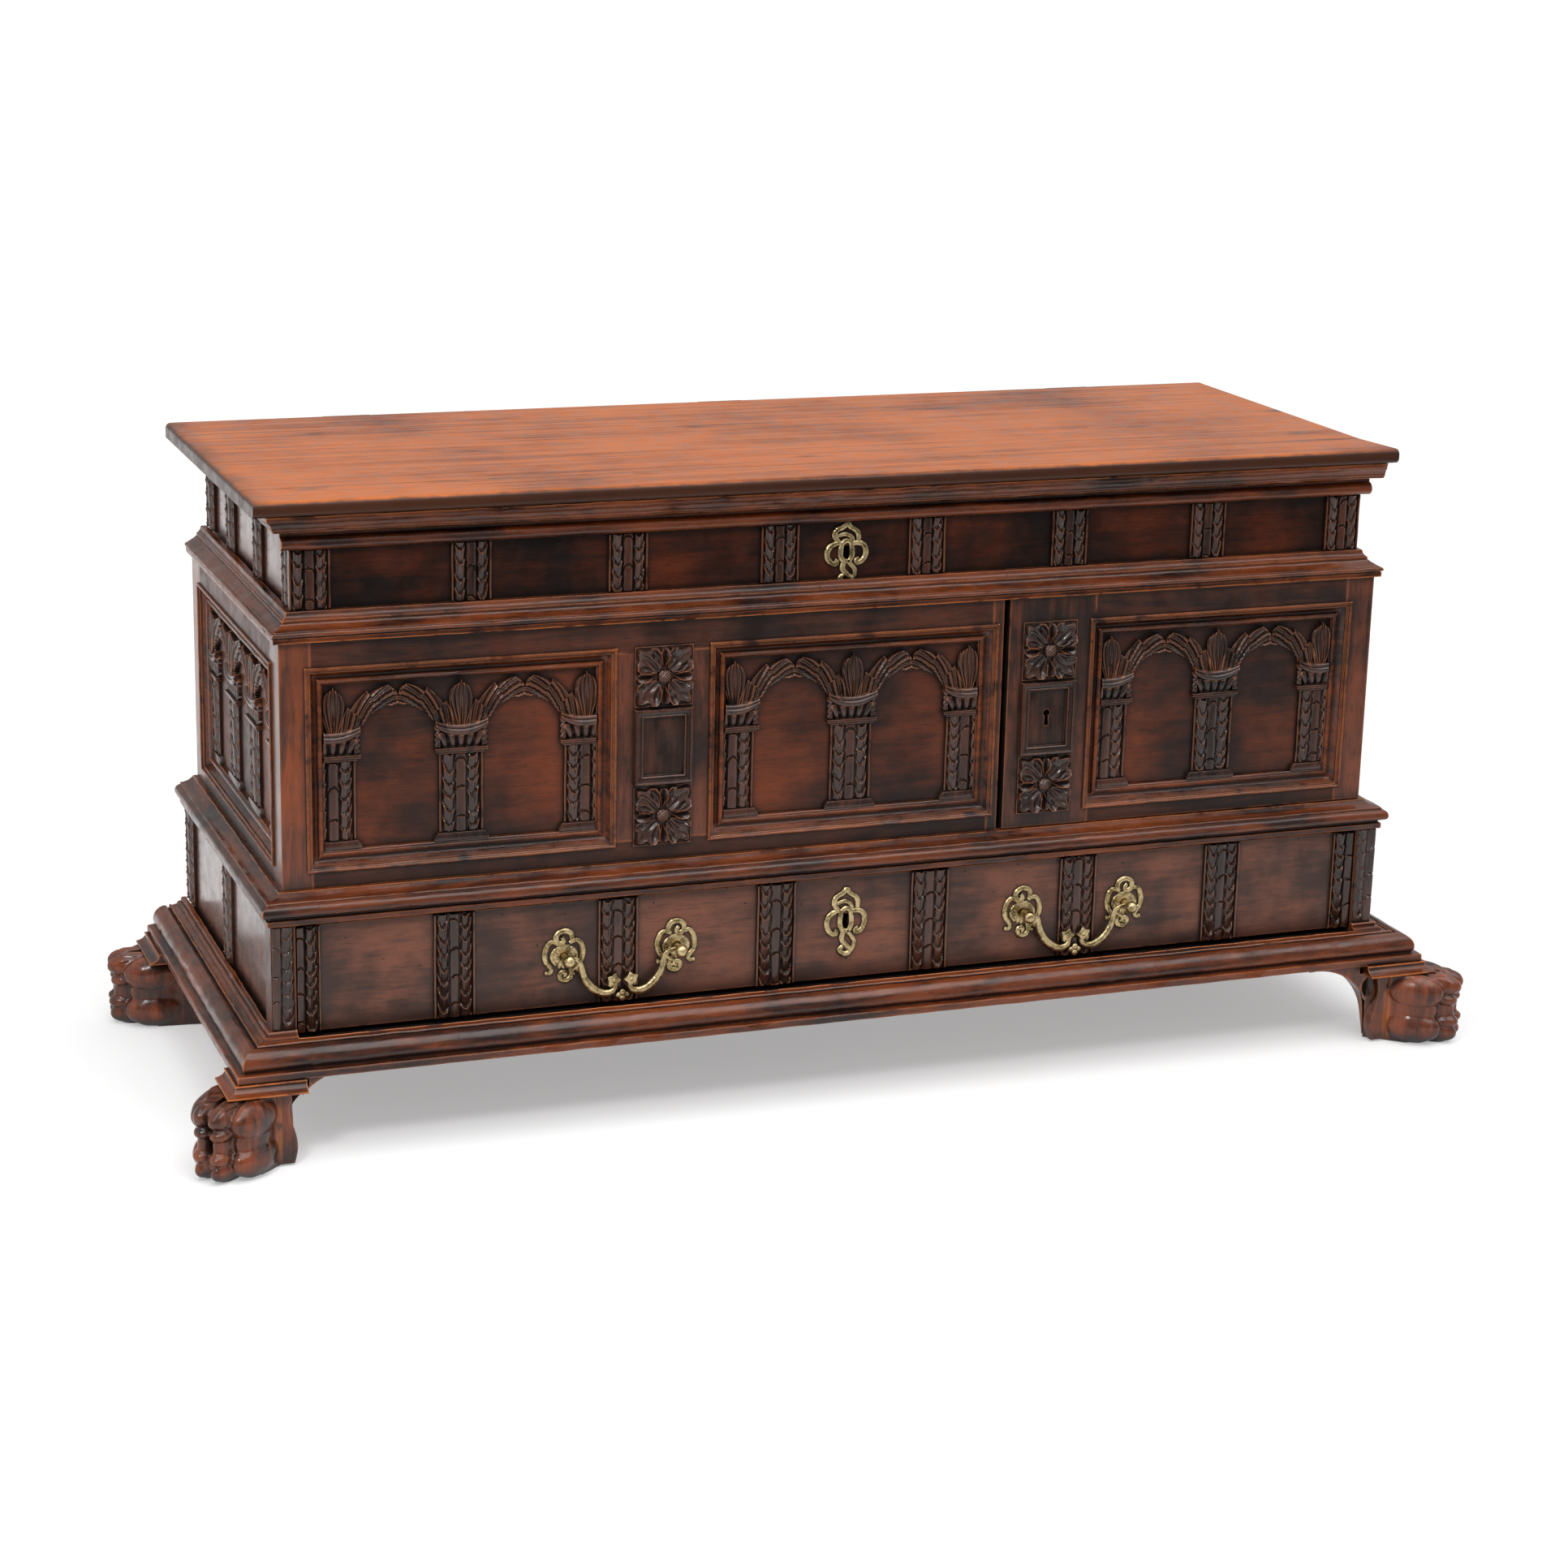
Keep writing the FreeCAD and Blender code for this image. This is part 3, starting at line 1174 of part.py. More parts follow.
# Door: stiles, rails, panel, moulding, arcade, plaques and lock.
door_front = front - s.door_proud
door_back = door_front + s.door_thick
door_low = body_z + s.door_clear
door_top = waist_z - s.door_clear
door_inner_left = door_panel_x - door_panel_wide / 2 + s.lip
door_inner_right = door_panel_x + door_panel_wide / 2 - s.lip
door_panel = panel_box("door_panel_board", door_panel_x, door_panel_wide, s.door_proud)
door_key_x = (door_left + door_inner_left - s.lip) / 2
door_slot = keyhole("door_key_slot", door_key_x, door_front - s.overrun * 3,
                    door_back + s.overrun, panel_mid_z)
node("door_stiles", [cut("door_lock_stile_cut", box(
    "door_lock_stile_block", (door_left, door_inner_left), (door_front, door_back),
    (door_low, door_top)), [door_panel, door_slot]), cut("door_hanging_stile_cut", box(
    "door_hanging_stile_block", (door_inner_right, half), (door_front, door_back),
    (door_low, door_top)), [door_panel])])
node("door_rails", [
    cut("door_top_rail", box("door_top_block", (door_inner_left, door_inner_right),
                             (door_front, door_back), (top_rail_low, door_top)), [door_panel]),
    cut("door_low_rail", box("door_low_block", (door_inner_left, door_inner_right),
                             (door_front, door_back), (door_low, low_rail_top)),
        [door_panel])])
node("door_panel", [door_panel])
node("door_panel_moulding", [group("door_mould_set", panel_moulding(
    "door_mould", door_panel_wide, s.panel_high), door_panel_x, door_front, panel_mid_z)])
node("door_arcade", [group("door_arcade_set", arcade(
    "door_arcade", door_panel_wide - s.mould_wide * 2, 2), door_panel_x,
    door_front + s.panel_sunk, sight_z)])
placed = [group("door_plaque_%d" % number, [plaque], door_key_x, door_front, panel_z)
          for number, plaque in enumerate(plaques)]
placed[1] = cut("door_tablet_keyed", placed[1], [door_slot])
node("door_plaques", placed)
door_case_x = jamb_x + s.stop_wide + s.staple_clear + s.lock_wide / 2
door_exit = box("door_lock_exit", (door_case_x - s.lock_wide / 2 - s.overrun,
                                   door_case_x - s.lock_wide / 2 + s.lock_wall + s.overrun),
                (bolt_y - s.bolt_clear, bolt_y + s.bolt_thick + s.bolt_clear),
                (bolt_z - s.bolt_high / 2 - s.bolt_clear,
                 bolt_z + s.bolt_high / 2 + s.bolt_clear))
node("door_lock_case", [
    lock_case("door_lock", door_case_x, door_back,
              (panel_mid_z - s.lock_high / 2, panel_mid_z + s.lock_high / 2), [door_exit]),
    lock_spring("door_lock_spring", (door_case_x - s.lock_wide / 2 + s.lock_wall,
                                     door_case_x + s.lock_wide / 2 - s.lock_wall),
                bolt_y + s.bolt_thick, door_back, bolt_z)])
door_bolt_left = door_case_x - s.lock_wide / 2
node("door_bolt", [box("door_bolt_bar", (door_bolt_left, door_bolt_left + s.bolt_wide),
                       (bolt_y, bolt_y + s.bolt_thick),
                       (bolt_z - s.bolt_high / 2, bolt_z + s.bolt_high / 2))])
door_hinge_y = (door_back + behind) / 2
door_fixed, door_moving, door_pin = hinge("door_hinge", s.hinge_wide, s.door_hinge_leaf,
                                          s.door_thick * 0.7)


def stand_up(name, pieces, z):
    """A hinge turned upright on the right-hand side, fixed leaf towards the back."""
    upright = group(name + "_up", pieces, turn=90, axis=(0, 1, 0))
    return group(name, [upright], half, door_hinge_y, z, -90)


hinge_low = door_low + s.door_hinge_inset
hinge_high = door_top - s.door_hinge_inset
node("door_hinge_leaves_fixed", [stand_up("door_hinge_low", [door_fixed, door_pin], hinge_low),
                                 stand_up("door_hinge_high", [door_fixed, door_pin],
                                          hinge_high)])
node("door_hinge_leaves_moving", [stand_up("door_leaf_low", [door_moving], hinge_low),
                                  stand_up("door_leaf_high", [door_moving], hinge_high)])

# Drawer.
face_y = front - s.base_out + s.drawer_face_in
box_y = face_y + s.drawer_front_thick
drawer_half = post_in - s.drawer_side_clear
drawer_key = keyhole("drawer_key_slot", key_x, face_y - s.overrun, box_y + s.overrun,
                     drawer_key_z)
handle_z = drawer_z + s.handle_level
post_holes = []
for side in (-1, 1):
    for end in (-1, 1):
        x = handle_x * side + s.bore_apart / 2 * end
        post_holes.append(rod("post_hole_%d_%d" % (side + 1, end + 1), "Y", s.post_radius,
                              s.drawer_front_thick + s.overrun * 2, x, face_y - s.overrun,
                              handle_z))
drawer_board = box("drawer_front_block", (-drawer_half, drawer_half), (face_y, box_y),
                   (drawer_z, drawer_z + s.drawer_front_high))
node("drawer_front", [cut("drawer_front_cut", drawer_board, [drawer_key] + post_holes)])
side_x = drawer_half - s.drawer_box_in
box_end = box_y + s.drawer_box_deep
box_top = drawer_z + s.drawer_box_high
drawer_side = box("drawer_side", (-side_x, s.drawer_wall - side_x), (box_y, box_end),
                  (drawer_z, box_top))
inner_x = side_x - s.drawer_wall
bottom_z = drawer_z + s.drawer_bottom_rise
node("drawer_box_sides", [drawer_side, mirrored("drawer_side_right", drawer_side),
                          box("drawer_back", (-inner_x, inner_x),
                              (box_end - s.drawer_wall, box_end),
                              (bottom_z + s.drawer_bottom_thick, box_top))])
node("drawer_bottom", [box("drawer_bottom_board", (-inner_x, inner_x), (box_y, box_end),
                           (bottom_z, bottom_z + s.drawer_bottom_thick))])
front_strip = reeded_strip("drawer_front_strip", s.drawer_strip_wide, s.drawer_front_high)
half_strip = reeded_strip("drawer_half_strip", s.half_strip_wide, s.drawer_front_high, 2)
drawer_strips = []
last_x = drawer_half - s.half_strip_wide / 2
for side in (-1, 1):
    drawer_strips.append(group("half_strip_%d" % (side + 1), [half_strip], last_x * side,
                               face_y, drawer_z))
for number in range(6):
    place = (number - 2.5) * 2 / 7
    drawer_strips.append(group("drawer_strip_at_%d" % number, [front_strip],
                               (drawer_half + s.half_strip_wide / 2) * place, face_y,
                               drawer_z))
node("drawer_pilasters", drawer_strips)
drawer_case_top = drawer_z + s.drawer_front_high - s.bolt_clear
drawer_exit = box("drawer_lock_exit", (key_x - s.bolt_wide / 2 - s.bolt_clear,
                                       key_x + s.bolt_wide / 2 + s.bolt_clear),
                  (drawer_bolt_y - s.bolt_clear, drawer_bolt_y + s.bolt_thick + s.bolt_clear),
                  (drawer_case_top - s.overrun, drawer_case_top + s.overrun))
node("drawer_lock_case", [
    lock_case("drawer_lock", key_x, box_y,
              (drawer_case_top - s.drawer_lock_high, drawer_case_top), [drawer_exit]),
    lock_spring("drawer_lock_spring", (key_x - s.lock_wide / 2 + s.lock_wall,
                                       key_x + s.lock_wide / 2 - s.lock_wall),
                drawer_bolt_y + s.bolt_thick, box_y,
                drawer_case_top - s.bolt_wide * 0.6)])
node("drawer_bolt", [box("drawer_bolt_bar", (key_x - s.bolt_wide / 2,
                                             key_x + s.bolt_wide / 2),
                         (drawer_bolt_y, drawer_bolt_y + s.bolt_thick),
                         (drawer_case_top - s.bolt_wide * 0.8, drawer_case_top))])


# Brasses: pierced plates, posts with knobs, and the hanging bails.
def brass_plate(name, wide, high, kind, tool=None):
    """A flat plate with a scrolled outline, its back on y = 0, its middle at the origin."""
    outline = []
    shares = OUTLINE_SHARES[kind]
    for across, up in shares:
        outline.append((wide / 2 * across, high / 2 * up))
    for across, up in shares[-2:0:-1]:
        outline.append((wide / 2 * -across, high / 2 * up))
    body = new_body(name)
    pad(body, sketch(body, name + "_outline", "XZ_Plane", outline, s.plate_thick / 2),
        s.plate_thick, True)
    tools = []
    for number, (across, up, radius) in enumerate(PIERCING_SHARES[kind]):
        for side in ((-1, 1) if across else (1,)):
            tools.append(rod("%s_hole_%d_%d" % (name, number, side + 1), "Y",
                             wide / 2 * radius, s.plate_thick * 4, wide / 2 * across * side,
                             s.plate_thick * -3, wide / 2 * up))
    return cut(name + "_pierced", body, tools + ([tool] if tool else []))


lid_plate_z = plate_low + s.lid_scutcheon_high / 2
plate_rise = s.key_high * 0.1
node("frieze_scutcheon", [group("frieze_plate", [brass_plate(
    "lid_scutcheon", s.lid_scutcheon_wide, s.lid_scutcheon_high, "scutcheon",
    keyhole("lid_plate_slot", 0, -s.overrun, s.overrun, lid_key_z - lid_plate_z))],
    key_x, board_y, lid_plate_z)])
node("drawer_scutcheon", [group("drawer_plate", [brass_plate(
    "drawer_scutcheon_plate", s.scutcheon_wide, s.scutcheon_high, "scutcheon",
    keyhole("drawer_plate_slot", 0, -s.overrun, s.overrun, -plate_rise))],
    key_x, face_y, drawer_key_z + plate_rise)])
rose_bore = rod("rose_bore", "Y", s.post_radius, s.plate_thick * 4, 0, s.plate_thick * -3, 0)
rose = brass_plate("rose", s.rose_wide, s.rose_high, "rose", rose_bore)
shank_back = s.drawer_front_thick + s.nut_thick
knob_post = fuse("knob_post", [
    rod("knob_shank", "Y", s.post_radius, s.knob_out + shank_back, 0, -s.knob_out, 0),
    ball("knob_head", s.knob_radius, 0, -s.knob_out, 0),
    rod("knob_nut", "Y", s.nut_radius, s.nut_thick, 0, s.drawer_front_thick, 0)])
post_left = cut("post_left", knob_post, [rod(
    "post_left_bore", "X", s.bail_bore, s.post_radius + s.overrun, -s.post_radius * 0.5,
    -s.post_eye_out, 0)])
post_right = mirrored("post_right", post_left)
roses = []
knobs = []
for side in (-1, 1):
    for end, post in ((-1, post_left), (1, post_right)):
        x = handle_x * side + s.bore_apart / 2 * end
        tag = "%d_%d" % (side + 1, end + 1)
        roses.append(group("rose_" + tag, [rose], x, face_y, handle_z))
        knobs.append(group("post_" + tag, [post], x, face_y, handle_z))
node("handle_backplates", roses)
node("handle_posts", knobs)


def rounded_path(points, radii):
    """Straight runs joined by tangent arcs."""
    edges = []
    start = points[0]
    for number in range(1, len(points) - 1):
        corner = points[number]
        before = (points[number - 1] - corner).normalize()
        after = (points[number + 1] - corner).normalize()
        opening = before.getAngle(after)
        back_off = radii[number - 1] / math.tan(opening / 2)
        first = corner + before * back_off
        last = corner + after * back_off
        middle = (before + after).normalize()
        centre = corner + middle * (radii[number - 1] / math.sin(opening / 2))
        edges.append(Part.LineSegment(start, first).toShape())
        edges.append(Part.Arc(first, centre - middle * radii[number - 1], last).toShape())
        start = last
    edges.append(Part.LineSegment(start, points[-1]).toShape())
    return Part.Wire(edges)


def bail(name):
    """A hanging handle about its pin line: pins, curved rod and twin leaves."""
    reach = s.bore_apart / 2
    arm_x = reach - s.post_radius - s.bail_gap
    spine = [(-arm_x.value, 0)]
    for across, down in BAIL_SHARES:
        spine.append((-reach.value * across, -s.bail_drop.value * down))
    points = [Vector(across, 0, up) for across, up in spine]
    points += [Vector(-point.x, 0, point.z) for point in points[-2::-1]]
    radii = [s.bail_bend.value * share for share in BAIL_BEND_SHARES]
    path = rounded_path(points, radii + radii[-2::-1])
    ring = Part.Wire([Part.makeCircle(s.bail_rod.value, points[0], Vector(1, 0, 0))])
    rod_shape = doc.addObject("Part::Feature", name + "_rod")
    rod_shape.Shape = path.makePipeShell([ring], True, False)
    parts = [rod_shape]
    for side in (-1, 1):
        start = -arm_x - s.post_radius - s.bail_gap if side < 0 else arm_x - s.bail_rod
        parts.append(rod("%s_pin_%d" % (name, side + 1), "X", s.bail_pin,
                         s.post_radius + s.bail_gap + s.bail_rod, start, 0, 0))
        leaf = doc.addObject("Part::Ellipsoid", "%s_leaf_%d" % (name, side + 1))
        bind(leaf, Radius1=s.leaf_long, Radius2=s.leaf_long * 0.55,
             Radius3=s.leaf_long * 0.3)
        parts.append(put(leaf, s.leaf_long * 0.95 * side, 0, s.leaf_long * 0.9 - s.bail_drop))
    bud = doc.addObject("Part::Ellipsoid", name + "_bud")
    bind(bud, Radius1=s.leaf_long * 0.5, Radius2=s.leaf_long * 0.6, Radius3=s.leaf_long * 0.3)
    parts.append(put(bud, 0, 0, -s.bail_drop))
    return fuse(name, parts)


bail_shape = bail("bail")
for side, label in ((-1, "left_bail"), (1, "right_bail")):
    node(label, [group(label + "_placed", [bail_shape], handle_x * side,
                       face_y - s.post_eye_out, handle_z)])


doc.recompute()
failed = [thing.Name for thing in doc.Objects
          if "Invalid" in thing.State or "Error" in thing.State]
if failed:
    raise RuntimeError("failed features: " + ", ".join(failed))
for label, whole in nodes.items():
    shape = whole.Shape
    if shape.isNull() or not shape.isValid() or not shape.Solids:
        raise RuntimeError("bad shape: " + label)
for label, whole in nodes.items():
    whole.Shape.exportStep("parts/%s.step" % label)
print(len(nodes), "nodes", sum(len(whole.Shape.Solids) for whole in nodes.values()), "solids")
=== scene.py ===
import math

import bmesh
import bpy
from mathutils import Matrix, Vector, noise


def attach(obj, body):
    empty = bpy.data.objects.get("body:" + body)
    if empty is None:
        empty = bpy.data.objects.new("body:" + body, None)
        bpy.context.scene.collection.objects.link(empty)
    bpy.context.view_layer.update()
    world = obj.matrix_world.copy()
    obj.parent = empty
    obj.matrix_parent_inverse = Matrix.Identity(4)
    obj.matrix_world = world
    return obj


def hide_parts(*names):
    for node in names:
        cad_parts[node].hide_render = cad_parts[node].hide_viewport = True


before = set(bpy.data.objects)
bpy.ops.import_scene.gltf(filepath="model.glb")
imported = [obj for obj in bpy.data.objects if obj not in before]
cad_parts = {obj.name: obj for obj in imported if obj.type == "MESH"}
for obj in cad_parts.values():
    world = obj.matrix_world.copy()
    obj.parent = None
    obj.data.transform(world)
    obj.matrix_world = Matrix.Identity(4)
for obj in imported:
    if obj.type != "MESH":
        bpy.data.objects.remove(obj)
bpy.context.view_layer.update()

# The viewpoint stands to the left of the middle at about eye height, and looks down at
# the chest. The camera leans a little to one side.
yaw, pitch, roll = (math.radians(angle) for angle in (20.675, 15.99, 1.356))
eye = Vector((-1.47596, -3.87147, 1.51597))
ahead = Vector((math.sin(yaw) * math.cos(pitch), math.cos(yaw) * math.cos(pitch),
                -math.sin(pitch)))
level = Vector((math.cos(yaw), -math.sin(yaw), 0))
above = level.cross(ahead)
right = level * math.cos(roll) + above * math.sin(roll)
upward = above * math.cos(roll) - level * math.sin(roll)
camera = bpy.data.objects.new("camera", bpy.data.cameras.new("camera"))
camera.data.lens = 78.14
camera.data.sensor_width = 36
camera.matrix_world = (Matrix.Translation(eye)
                       @ Matrix((right, upward, -ahead)).transposed().to_4x4())
bpy.context.scene.collection.objects.link(camera)
bpy.context.scene.camera = camera
bpy.context.scene.view_settings.view_transform = "Standard"


def knot(tree, kind, inputs=None, **settings):
    """One node of a finish, with its settings and with what feeds its sockets."""
    made = tree.nodes.new("ShaderNode" + kind)
    for name, value in settings.items():
        setattr(made, name, value)
    for name, value in (inputs or {}).items():
        if isinstance(value, bpy.types.NodeSocket):
            tree.links.new(value, made.inputs[name])
        else:
            made.inputs[name].default_value = value
    return made


def share(tree, value, low, high, to_low=0.0, to_high=1.0):
    """Where a value lies between two others, eased at both ends."""
    return knot(tree, "MapRange", {"Value": value, "From Min": low, "From Max": high,
                                   "To Min": to_low, "To Max": to_high},
                interpolation_type="SMOOTHSTEP").outputs["Result"]


def maths(tree, how, first, second=0.0):
    """One step of arithmetic on sockets or numbers."""
    return knot(tree, "Math", {0: first, 1: second}, operation=how).outputs[0]


def mixed(tree, factor, first, second):
    """A colour on the way from the first to the second."""
    made = knot(tree, "Mix", {0: factor, 6: first, 7: second}, data_type="RGBA")
    return made.outputs[2]


def seen_rays(tree):
    """Which rays reach the eye, straight or off a gloss, and which of those are glossy."""
    path = knot(tree, "LightPath")
    glossy = path.outputs["Is Glossy Ray"]
    seen = maths(tree, "MAXIMUM", path.outputs["Is Camera Ray"],
                 path.outputs["Is Transmission Ray"])
    return maths(tree, "MAXIMUM", seen, glossy), glossy


# The studio: a white floor and surround, a broad soft light overhead that leans in from
# the front, and a softbox at the upper left that picks out the carving. Flags in front and
# behind keep the gloss of the wood deep.
world = bpy.data.worlds.new("studio")
world.use_nodes = True
bpy.context.scene.world = world
tree = world.node_tree
seen, glossy = seen_rays(tree)
sky = knot(tree, "SeparateXYZ", {0: knot(tree, "TexCoord").outputs["Generated"]})
flag_behind = share(tree, sky.outputs["Y"], 0.45, 0.9, 0, 0.55)
flag_in_front = share(tree, sky.outputs["Y"], -0.75, -0.2, 0.6, 0)
flags = maths(tree, "MULTIPLY", glossy, maths(tree, "ADD", flag_behind, flag_in_front))
light_cast = share(tree, sky.outputs["Z"], 0.0, 0.8, 0.28, 0.75)
strength = knot(tree, "Mix", {0: seen, 2: light_cast, 3: maths(tree, "SUBTRACT", 1.0, flags)},
                data_type="FLOAT").outputs[0]
WHITE = (1, 1, 1, 1)
tree.nodes["Background"].inputs["Color"].default_value = WHITE
tree.links.new(strength, tree.nodes["Background"].inputs["Strength"])

sun = bpy.data.objects.new("overhead_light", bpy.data.lights.new("overhead_light", "SUN"))
sun.data.energy = 1.5
sun.data.angle = math.radians(50)
sun.rotation_euler = (math.radians(22), math.radians(8), 0)
bpy.context.scene.collection.objects.link(sun)
box = bpy.data.objects.new("softbox", bpy.data.lights.new("softbox", "AREA"))
box.data.shape = "SQUARE"
box.data.size = 0.6
box.data.energy = 38
away_from_chest = Vector((-2.0, -2.1, 2.2))
box.matrix_world = (Matrix.Translation((-2.1, -2.3, 2.6))
                    @ away_from_chest.to_track_quat("Z", "Y").to_matrix().to_4x4())
bpy.context.scene.collection.objects.link(box)

# The floor lies half a millimetre below the feet. It gives off a little light of its own
# to the eye, and far in front of the chest it carries painted shade that glossy rays alone see, as
# under a flag.
bm = bmesh.new()
bmesh.ops.create_circle(bm, cap_ends=True, radius=40, segments=64)
mesh = bpy.data.meshes.new("floor")
bm.to_mesh(mesh)
bm.free()
floor = bpy.data.objects.new("floor", mesh)
floor.location.z = -0.0005
bpy.context.scene.collection.objects.link(floor)
paper = bpy.data.materials.new("white_paper")
paper.use_nodes = True
tree = paper.node_tree
surface = tree.nodes["Principled BSDF"]
seen, glossy = seen_rays(tree)
spot = knot(tree, "SeparateXYZ", {0: knot(tree, "TexCoord").outputs["Object"]})
# Painted shade on the floor in front of the chest, seen only in reflections of it.
far_painted_shade = maths(tree, "MULTIPLY", glossy, share(tree, spot.outputs["Y"], -2.0, -0.45, 1, 0))
tree.links.new(mixed(tree, far_painted_shade, (0.66, 0.66, 0.66, 1), (0.06, 0.06, 0.06, 1)),
               surface.inputs["Base Color"])
surface.inputs["Roughness"].default_value = 1
surface.inputs["Specular IOR Level"].default_value = 0
lit = maths(tree, "SUBTRACT", seen, maths(tree, "MULTIPLY", far_painted_shade, 0.85))
lift = knot(tree, "Emission", {"Color": WHITE, "Strength": maths(tree, "MULTIPLY", lit, 0.36)})
both = knot(tree, "AddShader", {0: surface.outputs[0], 1: lift.outputs[0]})
tree.links.new(both.outputs[0], tree.nodes["Material Output"].inputs["Surface"])
mesh.materials.append(paper)


# Old waxed walnut: streaky heartwood, red-brown on the open fields and rubbed to orange along its
# edges, with dents and worm holes. Its hollows are painted nearly black: partly old wax grime,
# partly painted shade.
def grain_run(tree, place, along, long, across):
    """The place, scaled less along one axis than across it, so that noise turns to grain."""
    stretch = [long if axis == along else across for axis in "XYZ"]
    return knot(tree, "Mapping", {"Vector": place, "Scale": stretch}).outputs[0]


def lid_wear(tree, colour, place, cloud, rough):
    """Long blotches, the dark nosing under the top, a worn left end and the planks' joints."""
    blotch = knot(tree, "Mapping", {"Vector": place, "Scale": (1.0, 5, 5)})
    stain = knot(tree, "TexNoise", {"Vector": blotch.outputs[0], "Scale": 3.4,
                                    "Detail": 6.0, "Roughness": 0.7})
    colour = mixed(tree, share(tree, stain.outputs["Fac"], 0.56, 0.7, 0, 0.8), colour,
                   (0.055, 0.02, 0.016, 1))
    spot = knot(tree, "SeparateXYZ", {0: place})
    uneven = maths(tree, "ADD", spot.outputs["Z"],
                   maths(tree, "MULTIPLY", rough.outputs["Fac"], 0.004))
    colour = mixed(tree, share(tree, uneven, 0.7645, 0.7682, 0.94, 0), colour,
                   (0.03, 0.0125, 0.008, 1))
    worn_end = maths(tree, "ADD", spot.outputs["X"],
                     maths(tree, "MULTIPLY", cloud.outputs["Fac"], 0.16))
    colour = mixed(tree, share(tree, worn_end, -0.66, -0.6, 0.8, 0), colour,
                   (0.05, 0.019, 0.012, 1))
    for plank_joint in (-0.133, 0.22):
        off = maths(tree, "ABSOLUTE", maths(tree, "SUBTRACT", spot.outputs["Y"], plank_joint))
        colour = mixed(tree, share(tree, off, 0.0004, 0.0022, 0.85, 0), colour,
                       (0.03, 0.012, 0.008, 1))
    return colour


